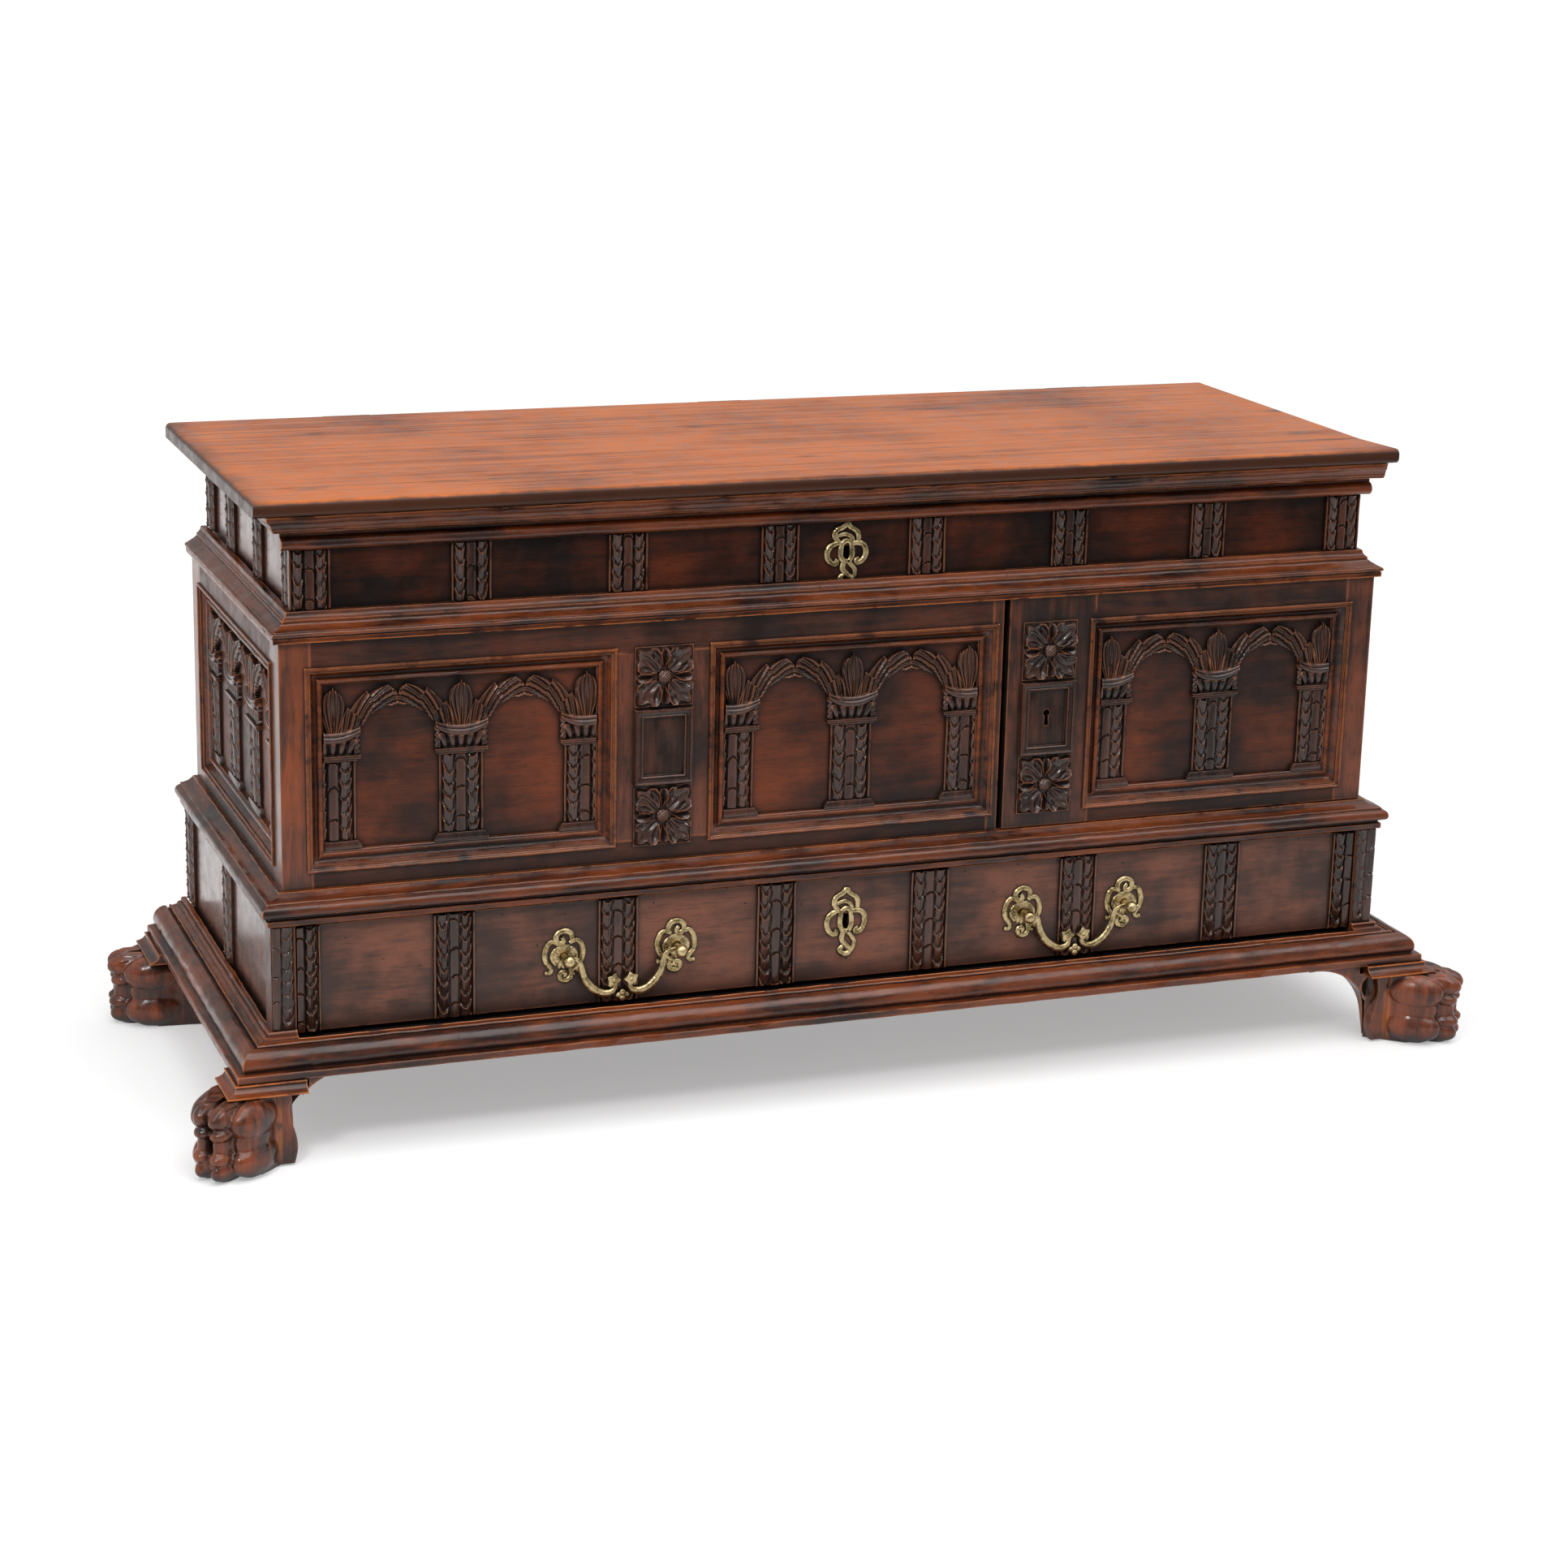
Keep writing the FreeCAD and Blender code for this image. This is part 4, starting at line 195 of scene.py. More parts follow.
def walnut(name, dark, open_field, rubbed, along="X", gloss=0.34, shine=0.3, wear=0.7,
           grime_and_shade=0.9, depth=0.03, long=1.6, across=14.0, clear=(0.38, 0.62), patch=5.0,
           holes=0.5, worn_lid=False, edge_wide=0.003, coat=0.0, streaks=0.5):
    """A finish whose grain runs along an axis, or along the second one past the mitre."""
    finish = bpy.data.materials.new(name)
    finish.use_nodes = True
    tree = finish.node_tree
    surface = tree.nodes["Principled BSDF"]
    place = knot(tree, "TexCoord").outputs["Object"]
    run = grain_run(tree, place, along[0], long, across)
    if len(along) > 1:
        # The mitres lie where |x| + y is what it is at the body's front corners.
        mitre = 0.7 - 0.195
        spot = knot(tree, "SeparateXYZ", {0: place})
        reach = maths(tree, "ADD", maths(tree, "ABSOLUTE", spot.outputs["X"]), spot.outputs["Y"])
        run = knot(tree, "Mix", {0: maths(tree, "GREATER_THAN", reach, mitre), 4: run,
                                 5: grain_run(tree, place, along[1], long, across)},
                   data_type="VECTOR").outputs[1]
    grain = knot(tree, "TexNoise", {"Vector": run, "Scale": 5.0, "Detail": 7.0,
                                    "Roughness": 0.65, "Distortion": 0.5})
    hair = knot(tree, "TexNoise", {"Vector": run, "Scale": 34.0, "Detail": 3.0})
    cloud = knot(tree, "TexNoise", {"Vector": place, "Scale": patch, "Detail": 5.0,
                                    "Roughness": 0.6})
    rough = knot(tree, "TexNoise", {"Vector": place, "Scale": 42.0, "Detail": 4.0})
    hollow = knot(tree, "AmbientOcclusion", {"Distance": depth}, samples=6)
    rim = knot(tree, "AmbientOcclusion", {"Distance": edge_wide}, samples=6,
               inside=True, only_local=True)
    tone_and_shade = maths(tree, "ADD", maths(tree, "MULTIPLY", grain.outputs["Fac"], streaks),
                 maths(tree, "MULTIPLY", cloud.outputs["Fac"], 1 - streaks))
    # Painted shade: the tone falls towards the dark colour where the occlusion finds near
    # surfaces, in hollows and along frames.
    tone_and_shade = maths(tree, "MULTIPLY", share(tree, tone_and_shade, *clear),
                 share(tree, hollow.outputs["AO"], 0.5, 1.0, 0.15, 1.0))
    colour = mixed(tree, tone_and_shade, dark, open_field)
    colour = mixed(tree, share(tree, hair.outputs["Fac"], 0.5, 0.75, 0, 0.5), colour, dark)
    edge = maths(tree, "MULTIPLY", share(tree, rim.outputs["AO"], 0.5, 0.9, 1, 0),
                 share(tree, rough.outputs["Fac"], 0.33, 0.48))
    colour = mixed(tree, maths(tree, "MULTIPLY", edge, wear), colour, rubbed)
    # Hollows and corners are darkened towards near black by occlusion: partly the grime of old
    # wax, partly painted shade.
    grime_and_shade_black = (dark[0] * 0.3, dark[1] * 0.3, dark[2] * 0.3, 1)
    colour = mixed(tree, share(tree, hollow.outputs["AO"], 0.25, 0.85, grime_and_shade, 0), colour, grime_and_shade_black)
    cells = knot(tree, "TexVoronoi", {"Vector": place, "Scale": 38.0})
    hole = share(tree, cells.outputs["Distance"], 0.04, 0.06, holes, 0)
    colour = mixed(tree, hole, colour, (0.004, 0.003, 0.002, 1))
    if worn_lid:
        colour = lid_wear(tree, colour, place, cloud, rough)
    tree.links.new(colour, surface.inputs["Base Color"])
    dull = maths(tree, "ADD", share(tree, rough.outputs["Fac"], 0.3, 0.7, gloss, gloss + 0.16),
                 share(tree, hollow.outputs["AO"], 0.2, 0.8, 0.25, 0))
    tree.links.new(dull, surface.inputs["Roughness"])
    surface.inputs["Specular IOR Level"].default_value = shine
    surface.inputs["Coat Weight"].default_value = coat
    surface.inputs["Coat Roughness"].default_value = 0.16
    dents = knot(tree, "TexNoise", {"Vector": place, "Scale": 16.0, "Detail": 3.0})
    height = maths(tree, "ADD", maths(tree, "MULTIPLY", dents.outputs["Fac"], 1.2),
                   maths(tree, "MULTIPLY", hair.outputs["Fac"], 0.14))
    height = maths(tree, "ADD", height, maths(tree, "MULTIPLY", rough.outputs["Fac"], 0.35))
    height = maths(tree, "SUBTRACT", height, maths(tree, "MULTIPLY", hole, 1.5))
    soft = knot(tree, "Bevel", {"Radius": 0.0007}, samples=4)
    bump = knot(tree, "Bump", {"Height": height, "Normal": soft.outputs[0],
                               "Strength": 0.55, "Distance": 0.001})
    tree.links.new(bump.outputs[0], surface.inputs["Normal"])
    return finish


DARK = (0.014, 0.006, 0.0045, 1)
ORANGE = (0.36, 0.105, 0.028, 1)
frame_along = walnut("frame_walnut_long_grain", DARK, (0.1, 0.026, 0.011, 1), ORANGE, "X",
                     shine=0.4, streaks=0.35, clear=(0.4, 0.62))
frame_up = walnut("frame_walnut_upright_grain", DARK, (0.18, 0.046, 0.018, 1), ORANGE, "Z",
                  shine=0.4, coat=0.35, streaks=0.35, clear=(0.4, 0.6))
post_wood = walnut("post_walnut", (0.03, 0.011, 0.007, 1), (0.24, 0.05, 0.01, 1), ORANGE, "Z",
                   shine=0.5, coat=0.5)
panel_wood = walnut("panel_walnut", (0.015, 0.007, 0.0055, 1), (0.17, 0.036, 0.01, 1), ORANGE, "X",
                    depth=0.08, shine=0.35, streaks=0.25, clear=(0.36, 0.66))
# The frieze walnut is darker than the panels' walnut, in part painted shade of the lid's overhang.
frieze_wood = walnut("frieze_walnut", (0.007, 0.0032, 0.0024, 1), (0.12, 0.021, 0.004, 1), ORANGE,
                     "X", depth=0.07, clear=(0.4, 0.7), shine=0.22, streaks=0.25, patch=6.0)
drawer_wood = walnut("drawer_walnut", (0.04, 0.018, 0.013, 1), (0.2, 0.068, 0.037, 1), ORANGE,
                     "X", patch=8.0, holes=0.9, clear=(0.4, 0.64), shine=0.45, streaks=0.35)
# The side walnut is lighter and greyer than the front's, in part painted sheen of the grazing
# reflection on the sides.
side_wood = walnut("side_walnut", (0.055, 0.021, 0.014, 1), (0.19, 0.07, 0.042, 1), ORANGE, "Y",
                   gloss=0.2, shine=0.35, coat=0.6)
carved = walnut("carved_walnut", (0.011, 0.0055, 0.004, 1), (0.085, 0.027, 0.014, 1),
                (0.36, 0.12, 0.045, 1), "Z", gloss=0.15, shine=0.55, wear=0.6, depth=0.009,
                holes=0, edge_wide=0.0018)
moulded = walnut("moulding_walnut", (0.015, 0.005, 0.0038, 1), (0.17, 0.037, 0.008, 1),
                 (0.66, 0.19, 0.035, 1), "XY", gloss=0.17, shine=0.45, wear=0.85, depth=0.0065,
                 clear=(0.4, 0.6), holes=0.3, edge_wide=0.0022)
foot_wood = walnut("foot_walnut", (0.022, 0.008, 0.005, 1), (0.24, 0.05, 0.012, 1),
                   (0.55, 0.16, 0.035, 1), "Z", gloss=0.16, shine=0.5, wear=0.5, depth=0.022,
                   patch=16.0, holes=0.2, edge_wide=0.005)
lid_wood = walnut("lid_walnut", (0.13, 0.025, 0.008, 1), (0.57, 0.145, 0.024, 1),
                  (0.66, 0.22, 0.06, 1), "X", gloss=0.24, shine=0.2, coat=0.08, wear=0.35,
                  grime_and_shade=0.6, long=0.5, across=26.0, clear=(0.33, 0.58), patch=3.0, holes=0.15,
                  worn_lid=True)
inner_wood = walnut("inner_wood", (0.13, 0.065, 0.032, 1), (0.33, 0.18, 0.09, 1),
                    (0.4, 0.26, 0.14, 1), "X", gloss=0.55, wear=0.3, holes=0.3)


def dress(finish, *names):
    """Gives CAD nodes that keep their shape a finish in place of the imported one."""
    for name in names:
        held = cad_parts[name]
        for slot in held.material_slots:
            slot.material = finish


dress(frame_along, "body_rails", "door_rails", "plinth_board")
dress(panel_wood, "fixed_panels", "door_panel")
dress(frieze_wood, "frieze_front_board")
dress(drawer_wood, "drawer_front")
dress(post_wood, "corner_posts")
dress(frame_up, "front_muntin", "door_stiles", "door_jamb", "base_posts")
dress(side_wood, "frieze_side_boards", "base_side_boards")
dress(inner_wood, "back_boards", "chest_floor", "drawer_bottom", "drawer_box_sides",
      "drawer_runners", "lid_battens", "partition")
dress(lid_wood, "lid_front_board", "lid_rear_boards")


def settle(name, bm, finish, replaced=(), body="carcase", crease=40):
    """Turns a bmesh in millimetres into a finished piece that rides on its body."""
    bmesh.ops.scale(bm, vec=(0.001, 0.001, 0.001), verts=bm.verts)
    bmesh.ops.recalc_face_normals(bm, faces=bm.faces)
    mesh = bpy.data.meshes.new(name)
    bm.to_mesh(mesh)
    bm.free()
    mesh.shade_smooth()
    mesh.set_sharp_from_angle(angle=math.radians(crease))
    mesh.materials.append(finish)
    piece = bpy.data.objects.new(name, mesh)
    bpy.context.scene.collection.objects.link(piece)
    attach(piece, body)
    if replaced:
        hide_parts(*replaced)


# The mouldings are planed by hand and mitred at the corners. Their lines waver, and the
# long edges are chipped where they stand out. The seed keeps the wavering the same.
noise.seed_set(1)


def moulding(bm, outline, corners, closed=False, step=9.0, waver=0.45, chip=0.0, lower=None):
    """Sweeps an outline of (out, up) along corners of (place, out vector, up vector)."""
    stations = []
    for first, last in zip(corners, corners[1:] + corners[:1] * closed):
        parts = max(1, round((last[0] - first[0]).length / step))
        stations += [[a.lerp(b, k / parts) for a, b in zip(first, last)] for k in range(parts)]
    stations.append(corners[0] if closed else corners[-1])
    made = bmesh.ops.create_grid(bm, x_segments=len(outline), y_segments=len(stations) - 1,
                                 size=0.5)
    for vert in made["verts"]:
        out, up = outline[round((vert.co.x + 0.5) * len(outline)) % len(outline)]
        place, outward, upward = stations[round((vert.co.y + 0.5) * (len(stations) - 1))]
        if lower:
            up = lower(place.x, out, up)
        spot = place + outward * out + upward * up
        spot += noise.noise_vector(spot * 0.038) * waver
        if chip and up > 0:
            nick = noise.noise(spot * 0.07) + 0.4 * noise.noise(spot * 0.23)
            spot -= outward * max(0.0, nick - 0.42) * chip
        vert.co = spot
    bmesh.ops.remove_doubles(bm, verts=made["verts"], dist=0.004)
    if not closed:
        bmesh.ops.edgeloop_fill(bm, edges=[edge for edge in bm.edges if edge.is_boundary])


# Where the body's faces lie, and those of the door, the frieze and the drawer's front.
FRONT, SIDE, BACK = -195, 700, 312
DOOR_FACE, FRIEZE_FACE, DRAWER_FACE = -197, -175, -207
LEFTWARD, RIGHTWARD, FORWARD = Vector((-1, 0, 0)), Vector((1, 0, 0)), Vector((0, -1, 0))
UP = Vector((0, 0, 1))


def round_three_sides(z, right_end=None):
    """Corners of a moulding along the left side, the front and, if it goes on, the right."""
    corners = [(Vector((-SIDE, BACK, z)), LEFTWARD, UP),
               (Vector((-SIDE, FRONT, z)), LEFTWARD + FORWARD, UP)]
    if right_end is None:
        return corners + [(Vector((SIDE, FRONT, z)), RIGHTWARD + FORWARD, UP),
                          (Vector((SIDE, BACK, z)), RIGHTWARD, UP)]
    return corners + [(Vector((right_end, FRONT, z)), FORWARD, UP)]


def planed(name, outline, corners, source, body="carcase", **more):
    """A moulding that is a piece of its own, in the place of one CAD node."""
    bm = bmesh.new()
    moulding(bm, outline, corners, **more)
    settle(name, bm, moulded, [source], body, crease=32)


def notched(x, out, up):
    """The plinth is let down in front so that the drawer can pass over it."""
    half_opening, board_edge, step_top, floor_top = 690, 30.5, 35.2, 30.4
    if abs(x) < half_opening:
        return min(up, step_top if out > board_edge else floor_top)
    return up


planed("worn_waist_moulding",
       [(7, 0), (7, 1.2), (7.4, 4.8), (7.2, 5.6), (6.2, 6), (6.4, 6.8), (8.4, 7.6), (9, 9.2),
        (8.6, 10.8), (7.6, 11.8), (5.6, 12.2), (5.2, 13), (3.2, 13.8), (0.4, 15.6),
        (-2.6, 17.4), (-4.6, 19), (-5.2, 19.8), (-6.2, 20), (-6.4, 21.6), (-6, 22.6),
        (-6.6, 23.8), (-8.2, 24.3), (-8.4, 25.2), (-9.6, 26), (-11.2, 28.6), (-11.5, 30.8),
        (-12.2, 31.9), (-19.6, 32), (-19.6, 0)], round_three_sides(602), "waist_moulding",
       chip=1.5)
planed("worn_base_moulding",
       [(0, 0), (22.5, 0), (23.2, 0.8), (23.4, 6.6), (22.6, 7.4), (20.6, 8), (20.2, 10.6),
        (21.6, 11.4), (26.6, 12), (28.8, 13.4), (30, 16), (30, 19), (28.9, 22), (26.8, 24.2),
        (24.2, 25.2), (23.2, 25.6), (23, 27.4), (22, 28.2), (18, 28.6), (13.5, 29.9),
        (10, 31.9), (7.4, 34), (6.4, 34.6), (6.2, 35.8), (0, 36)], round_three_sides(274),
       "base_moulding", chip=2.0)
plinth_z = 105
plinth_run = round_three_sides(plinth_z)
# Pairs of stations a millimetre apart keep the ends of the let-down part upright.
plinth_run[2:2] = [(Vector((x, FRONT, plinth_z)), FORWARD, UP)
                   for x in (-690.5, -689.5, 689.5, 690.5)]
planed("worn_plinth_moulding",
       [(19, 0), (69, 0), (70, 0.8), (70, 7.6), (69.2, 8.8), (65.5, 9.2), (61.4, 9.6),
        (60, 10.6), (61.6, 12.2), (62.6, 15.6), (62.4, 20), (60.9, 24.4), (58, 28.2),
        (54.2, 31.2), (50, 33), (46.4, 33.4), (44.4, 32.4), (43.6, 30.2), (42.4, 29.8),
        (41.6, 30.6), (41.2, 33.2), (40, 34.4), (38.4, 34.2), (37.6, 33), (34, 33.8),
        (31, 34.6), (30.6, 36.4), (28.6, 37.8), (26.4, 38.2), (25.8, 37.8), (25.4, 41.4),
        (24, 42.8), (19, 43)], plinth_run, "plinth_moulding", waver=0.6, chip=4.0, lower=notched)
planed("worn_lid_cornice",
       [(-19.5, 0), (3.6, 0), (4.4, 0.8), (4.6, 2.2), (6.2, 3), (6.9, 4.6), (6.6, 6.2),
        (7.4, 7), (8.2, 9.4), (9.8, 11.6), (11.2, 12.6), (11.4, 13.4), (12.8, 13.8),
        (13.6, 14.4), (14, 15.4), (14, 19.4), (13.6, 20), (-19.5, 20)],
       round_three_sides(728, right_end=702), "lid_cornice", body="lid", waver=0.7, chip=6.0)
planed("worn_frieze_bead",
       [(0, 0), (5, 0.2), (9, 1), (12, 3), (13.8, 6), (14, 8.5), (13.2, 11.5), (11, 14),
        (8, 15.6), (6.6, 16), (5.4, 16.3), (5.2, 19.4), (4.6, 20), (0, 20)],
       [(Vector((x, FRIEZE_FACE, 704)), FORWARD, UP) for x in (-693, 693)], "frieze_bead",
       chip=1.5)

AS_IS, MIRRORED = Matrix.Identity(4), Matrix.Scale(-1, 4, (1, 0, 0))
LEFT = Matrix.Rotation(math.radians(-90), 4, "Z")
RIGHT = Matrix.Rotation(math.radians(90), 4, "Z")
SIDES = ((-1, LEFT), (1, RIGHT))
CORNERS = ((-1, -1), (1, -1), (1, 1), (-1, 1))
left_panel_x, middle_panel_x, door_panel_x = -485.5, 0, 488.5
left_side_y, right_side_y = 56.5, 66.5


def panel_frame(bm, centre, half_x, face, turn=AS_IS):
    """Four mitred lengths round a panel, lapping the framework and seated on the panel."""
    low, high = 328, 571
    outline = [(0, -0.5), (0, 2.2), (1, 3.4), (2.6, 3.5), (3.6, 2.4), (3.8, 0.6), (5.5, -0.4),
               (7.5, -3), (9.5, -6.5), (11.5, -8.6), (13.5, -9.4), (15.2, -9.2), (15.6, -6.6),
               (16.4, -5.4), (18.2, -4.6), (20, -5), (21.3, -6.4), (21.7, -8), (22.9, -9),
               (23, -13.9), (3.2, -13.9), (3.2, -0.5)]
    corners = []
    for sx, sz in CORNERS:
        spot = turn @ Vector((centre + half_x * sx, face, high if sz > 0 else low))
        corners.append((spot, turn.to_3x3() @ Vector((-sx, 0, -sz)), turn.to_3x3() @ FORWARD))
    moulding(bm, outline, corners, closed=True, step=8.0, waver=0.4)


for name, body, source, panels in (
        ("worn_front_panel_mouldings", "carcase", "front_panel_mouldings",
         [(left_panel_x, 185.5, FRONT), (middle_panel_x, 185.5, FRONT)]),
        ("worn_side_panel_mouldings", "carcase", "side_panel_mouldings",
         [(-left_side_y, 213.5, -SIDE, LEFT), (right_side_y, 203.5, -SIDE, RIGHT)]),
        ("worn_door_panel_moulding", "door", "door_panel_moulding",
         [(door_panel_x, 181.5, DOOR_FACE)])):
    bm = bmesh.new()
    for panel in panels:
        panel_frame(bm, *panel)
    settle(name, bm, moulded, [source], body, crease=32)


# The flat strips of three reeds are carved from thin slips and glued to the frieze, the
# base and the drawer, and the base posts carry the same reeds. Leaf tips are nicked along
# the outer reeds, joints across the middle one.
def relief(bm, across, along, shape):
    """A carved skin: a grid moved to shape(u, v), with its rim taken back into the ground."""
    ground = 4.0
    made = bmesh.ops.create_grid(bm, x_segments=across, y_segments=along, size=0.5)
    for vert in made["verts"]:
        vert.co = Vector(shape(vert.co.x + 0.5, vert.co.y + 0.5))
    rim = list(dict.fromkeys(edge for vert in made["verts"] for edge in vert.link_edges
                             if edge.is_boundary))
    skirt = bmesh.ops.extrude_edge_only(bm, edges=rim)["geom"]
    for vert in skirt:
        if isinstance(vert, bmesh.types.BMVert):
            vert.co.y = ground
    bmesh.ops.edgeloop_fill(bm, edges=[edge for edge in skirt
                                       if isinstance(edge, bmesh.types.BMEdge)
                                       and edge.is_boundary])


def dome(value):
    """The height of a half round at this share of its half width."""
    return math.sqrt(max(0.0, 1 - value * value))


def reeds(bm, x0, x1, centre, half, z0, z1, proud, seed):
    """Three reeds between fillets, from x0 to x1 of a strip that is centred on centre."""
    joint = 34.0

    def shape(u, v):
        x = x0 + (x1 - x0) * u
        z = z0 + (z1 - z0) * v
        across = (x - centre) / half
        wander = noise.noise(Vector((x * 0.05, z * 0.03, seed)))
        side = abs(across)
        # From the edge inwards: a fillet, a cut line, a nicked outer reed, the middle reed.
        if side > 0.9:
            high = 0.62 * proud + 0.5 * wander
        elif side > 0.86:
            high = 0.12 * proud
        elif side > 0.29:
            over = (side - 0.575) / 0.28
            turn = z / (joint / 2) - 0.5 * (over + 0.2) ** 2 + seed * 0.37 + 0.4 * wander
            turn -= math.floor(turn)
            leaf = 0.28 + 0.72 * turn ** 0.8 - 0.5 * max(0.0, turn - 0.93) / 0.07
            leaf += 0.12 * math.cos(over * 9) * turn
            high = 0.02 * proud + 1.05 * proud * dome(over * 0.98) ** 0.9 * leaf
        else:
            over = across / 0.27
            turn = z / joint + 0.12 * over * over + seed * 0.21 + 0.2 * wander
            turn -= math.floor(turn)
            high = 0.05 * proud + 0.95 * proud * dome(over * 0.98) ** 0.9 * (0.8 + 0.2 * turn)
            if turn < 0.06:
                high *= 0.62
        edge = min(v, 1 - v) * (z1 - z0)
        return x + 0.4 * wander, -high * min(1, 0.6 + edge * 0.4), z

    relief(bm, max(12, int(x1 - x0)), max(8, int((z1 - z0) / 1.35)), shape)


def moved(bm, matrix, build, *args, **more):
    """Runs a carving step and puts what it adds where the matrix says, in millimetres."""
    before = set(bm.verts)
    build(bm, *args, **more)
    bmesh.ops.transform(bm, matrix=matrix, verts=[vert for vert in bm.verts if vert not in before])


# A strip's two edges, its centre and half width, its foot and top, and how proud it stands.
frieze_strip = (-23.5, 23.5, 0, 23.5, 634, 704, 6.5)
drawer_strip = (-24.5, 24.5, 0, 24.5, 141, 270, 6.5)
drawer_left_end = (-688, -661, -685, 24.5, 141, 270, 6.5)
drawer_right_end = (661, 688, 685, 24.5, 141, 270, 6.5)
base_strip = (-24.5, 24.5, 0, 24.5, 148, 274, 6.5)
left_post_reeds = (-718, -691.5, -714, 24.5, 148, 273, 3.6)

bm = bmesh.new()
first_x, spacing, frieze_side = -659, 188.3, 676
for number in range(8):
    moved(bm, Matrix.Translation((first_x + spacing * number, FRIEZE_FACE, 0)), reeds,
          *frieze_strip, number)
for number, y in enumerate((-151.5, 6.9, 165.3, 288.5)):
    for side, turn in SIDES:
        moved(bm, Matrix.Translation((frieze_side * side, y, 0)) @ turn, reeds, *frieze_strip,
              number + side * 5)
settle("carved_frieze_strips", bm, carved, ["frieze_pilasters"])

bm = bmesh.new()
for number, x in enumerate((-501.1, -300.6, -100.2, 100.2, 300.6, 501.1)):
    moved(bm, Matrix.Translation((x, DRAWER_FACE, 0)), reeds, *drawer_strip, number + 11)
moved(bm, Matrix.Translation((0, DRAWER_FACE, 0)), reeds, *drawer_left_end, 31)
moved(bm, Matrix.Translation((0, DRAWER_FACE, 0)), reeds, *drawer_right_end, 33)
settle("carved_drawer_strips", bm, carved, ["drawer_pilasters"], "drawer")

bm = bmesh.new()
base_side = 713
for number, y in enumerate((49, 287.5)):
    for side, turn in SIDES:
        moved(bm, Matrix.Translation((base_side * side, y, 0)) @ turn, reeds, *base_strip,
              number + 41 + side)
settle("carved_base_strips", bm, carved, ["base_side_pilasters"])

bm = bmesh.new()
post_face = -214
for hand in (AS_IS, MIRRORED):
    moved(bm, hand @ Matrix.Translation((0, post_face, 0)), reeds, *left_post_reeds, 51)
settle("carved_post_reeds", bm, carved)


# Each panel is an arcade carved from a thin board: reeded columns with moulded bases and
# scrolled capitals, arches of two acanthus plumes, and a leaf in each spandrel.
def slab(bm, outline, front, back=0.5, soft=1.0, hole=()):
    """A flat piece with the given outline in x and z, its front edges eased or a hole cut."""
    rim = []
    for ring in filter(None, (outline, hole)):
        corners = [bm.verts.new((x, back, z)) for x, z in ring]
        rim += [bm.edges.new((corners[k - 1], corners[k])) for k in range(len(corners))]
    if hole:
        base = [part for part in bmesh.ops.triangle_fill(bm, edges=rim, use_beauty=True)["geom"]
                if isinstance(part, bmesh.types.BMFace)]
    else:
        base = bmesh.ops.contextual_create(bm, geom=rim)["faces"]
    made = bmesh.ops.extrude_face_region(bm, geom=base)["geom"]
    bmesh.ops.translate(bm, vec=(0, front - back, 0),
                        verts=[part for part in made if isinstance(part, bmesh.types.BMVert)])
    if soft:
        face = [part for part in made if isinstance(part, bmesh.types.BMFace)][0]
        bmesh.ops.bevel(bm, geom=face.edges[:], offset=soft, segments=2, affect="EDGES",
                        profile=0.5, material=-1)


def clipped(value, low, high):
    """The value, kept between two limits."""
    return max(low, min(high, value))


def capital(bm, x0, x1, centre):
    """Fingered leaves over the abacus, and the scrolled bar that the arches spring from."""
    abacus_top, bar_z, half_bar = 463, 486, 31

    def fingers(u, v):
        offset = clipped((u * 2 - 1) * (20 + 8 * v), x0 - centre, x1 - centre)
        finger = abs(math.cos(offset * math.pi / (9.2 + 2.6 * v)))
        tall = 19 - 2.5 * (1 - finger) * v
        high = 1.2 + 1.5 * v + 5.6 * finger ** 0.8 * (0.6 + 0.4 * math.sin(v * 2.6))
        return centre + offset, -high, abacus_top + tall * v

    def bar(u, v):
        offset = clipped((u * 2 - 1) * half_bar, x0 - centre, x1 - centre)
        out = offset / half_bar
        lift = 9 * abs(out) ** 2.2 - 2
        up = v * 2 - 1
        tall = 7.4 - 2.6 * abs(out) ** 3
        ridge = 2.2 * math.exp(-((up - 0.2) / 0.16) ** 2)
        return centre + offset, -(2.5 + 7.6 * dome(up) ** 0.6 - ridge), bar_z + lift + up * tall

    def hanging(hand):
        def shape(u, v):
            teeth = abs(math.sin(v * 13))
            offset = clipped(hand * (24.5 + (5 + 2 * teeth) * u), x0 - centre, x1 - centre)
            high = 2 + 3.4 * dome(u * 1.6 - 0.8) + 0.8 * teeth
            return centre + offset, -high, abacus_top + 0.5 + 27 * v
        return shape

    relief(bm, 44, 12, fingers)
    relief(bm, 40, 16, bar)
    for hand in (-1, 1):
        if x0 < centre + hand * 24 < x1:
            relief(bm, 6, 22, hanging(hand))


def palmette(bm, x0, x1, centre):
    """A broad upright leaf with a cleft midrib and deep ribs, cut short at a panel's end."""
    foot, tall = 489, 55

    def shape(u, v):
        rounding = dome(max(0.0, v - 0.62) / 0.382) ** 0.75
        wide = (5.5 + 8.6 * math.sin(math.pi * v * 0.72)) * rounding
        across = u * 2 - 1
        x = clipped(centre + across * wide, x0, x1)
        fan = abs(math.cos(math.pi * (across * 2.5 - 0.5 * abs(across) * (1 - v))))
        high = 3.0 + 2.6 * dome(across * 0.95) + 3.0 * fan ** 0.7 * (1 - v * 0.3)
        high -= 3.4 * math.exp(-(across / 0.09) ** 2) * (1.1 - v)
        return x, -high, foot + tall * v - 5 * abs(across) * v ** 4

    relief(bm, 40, 34, shape)


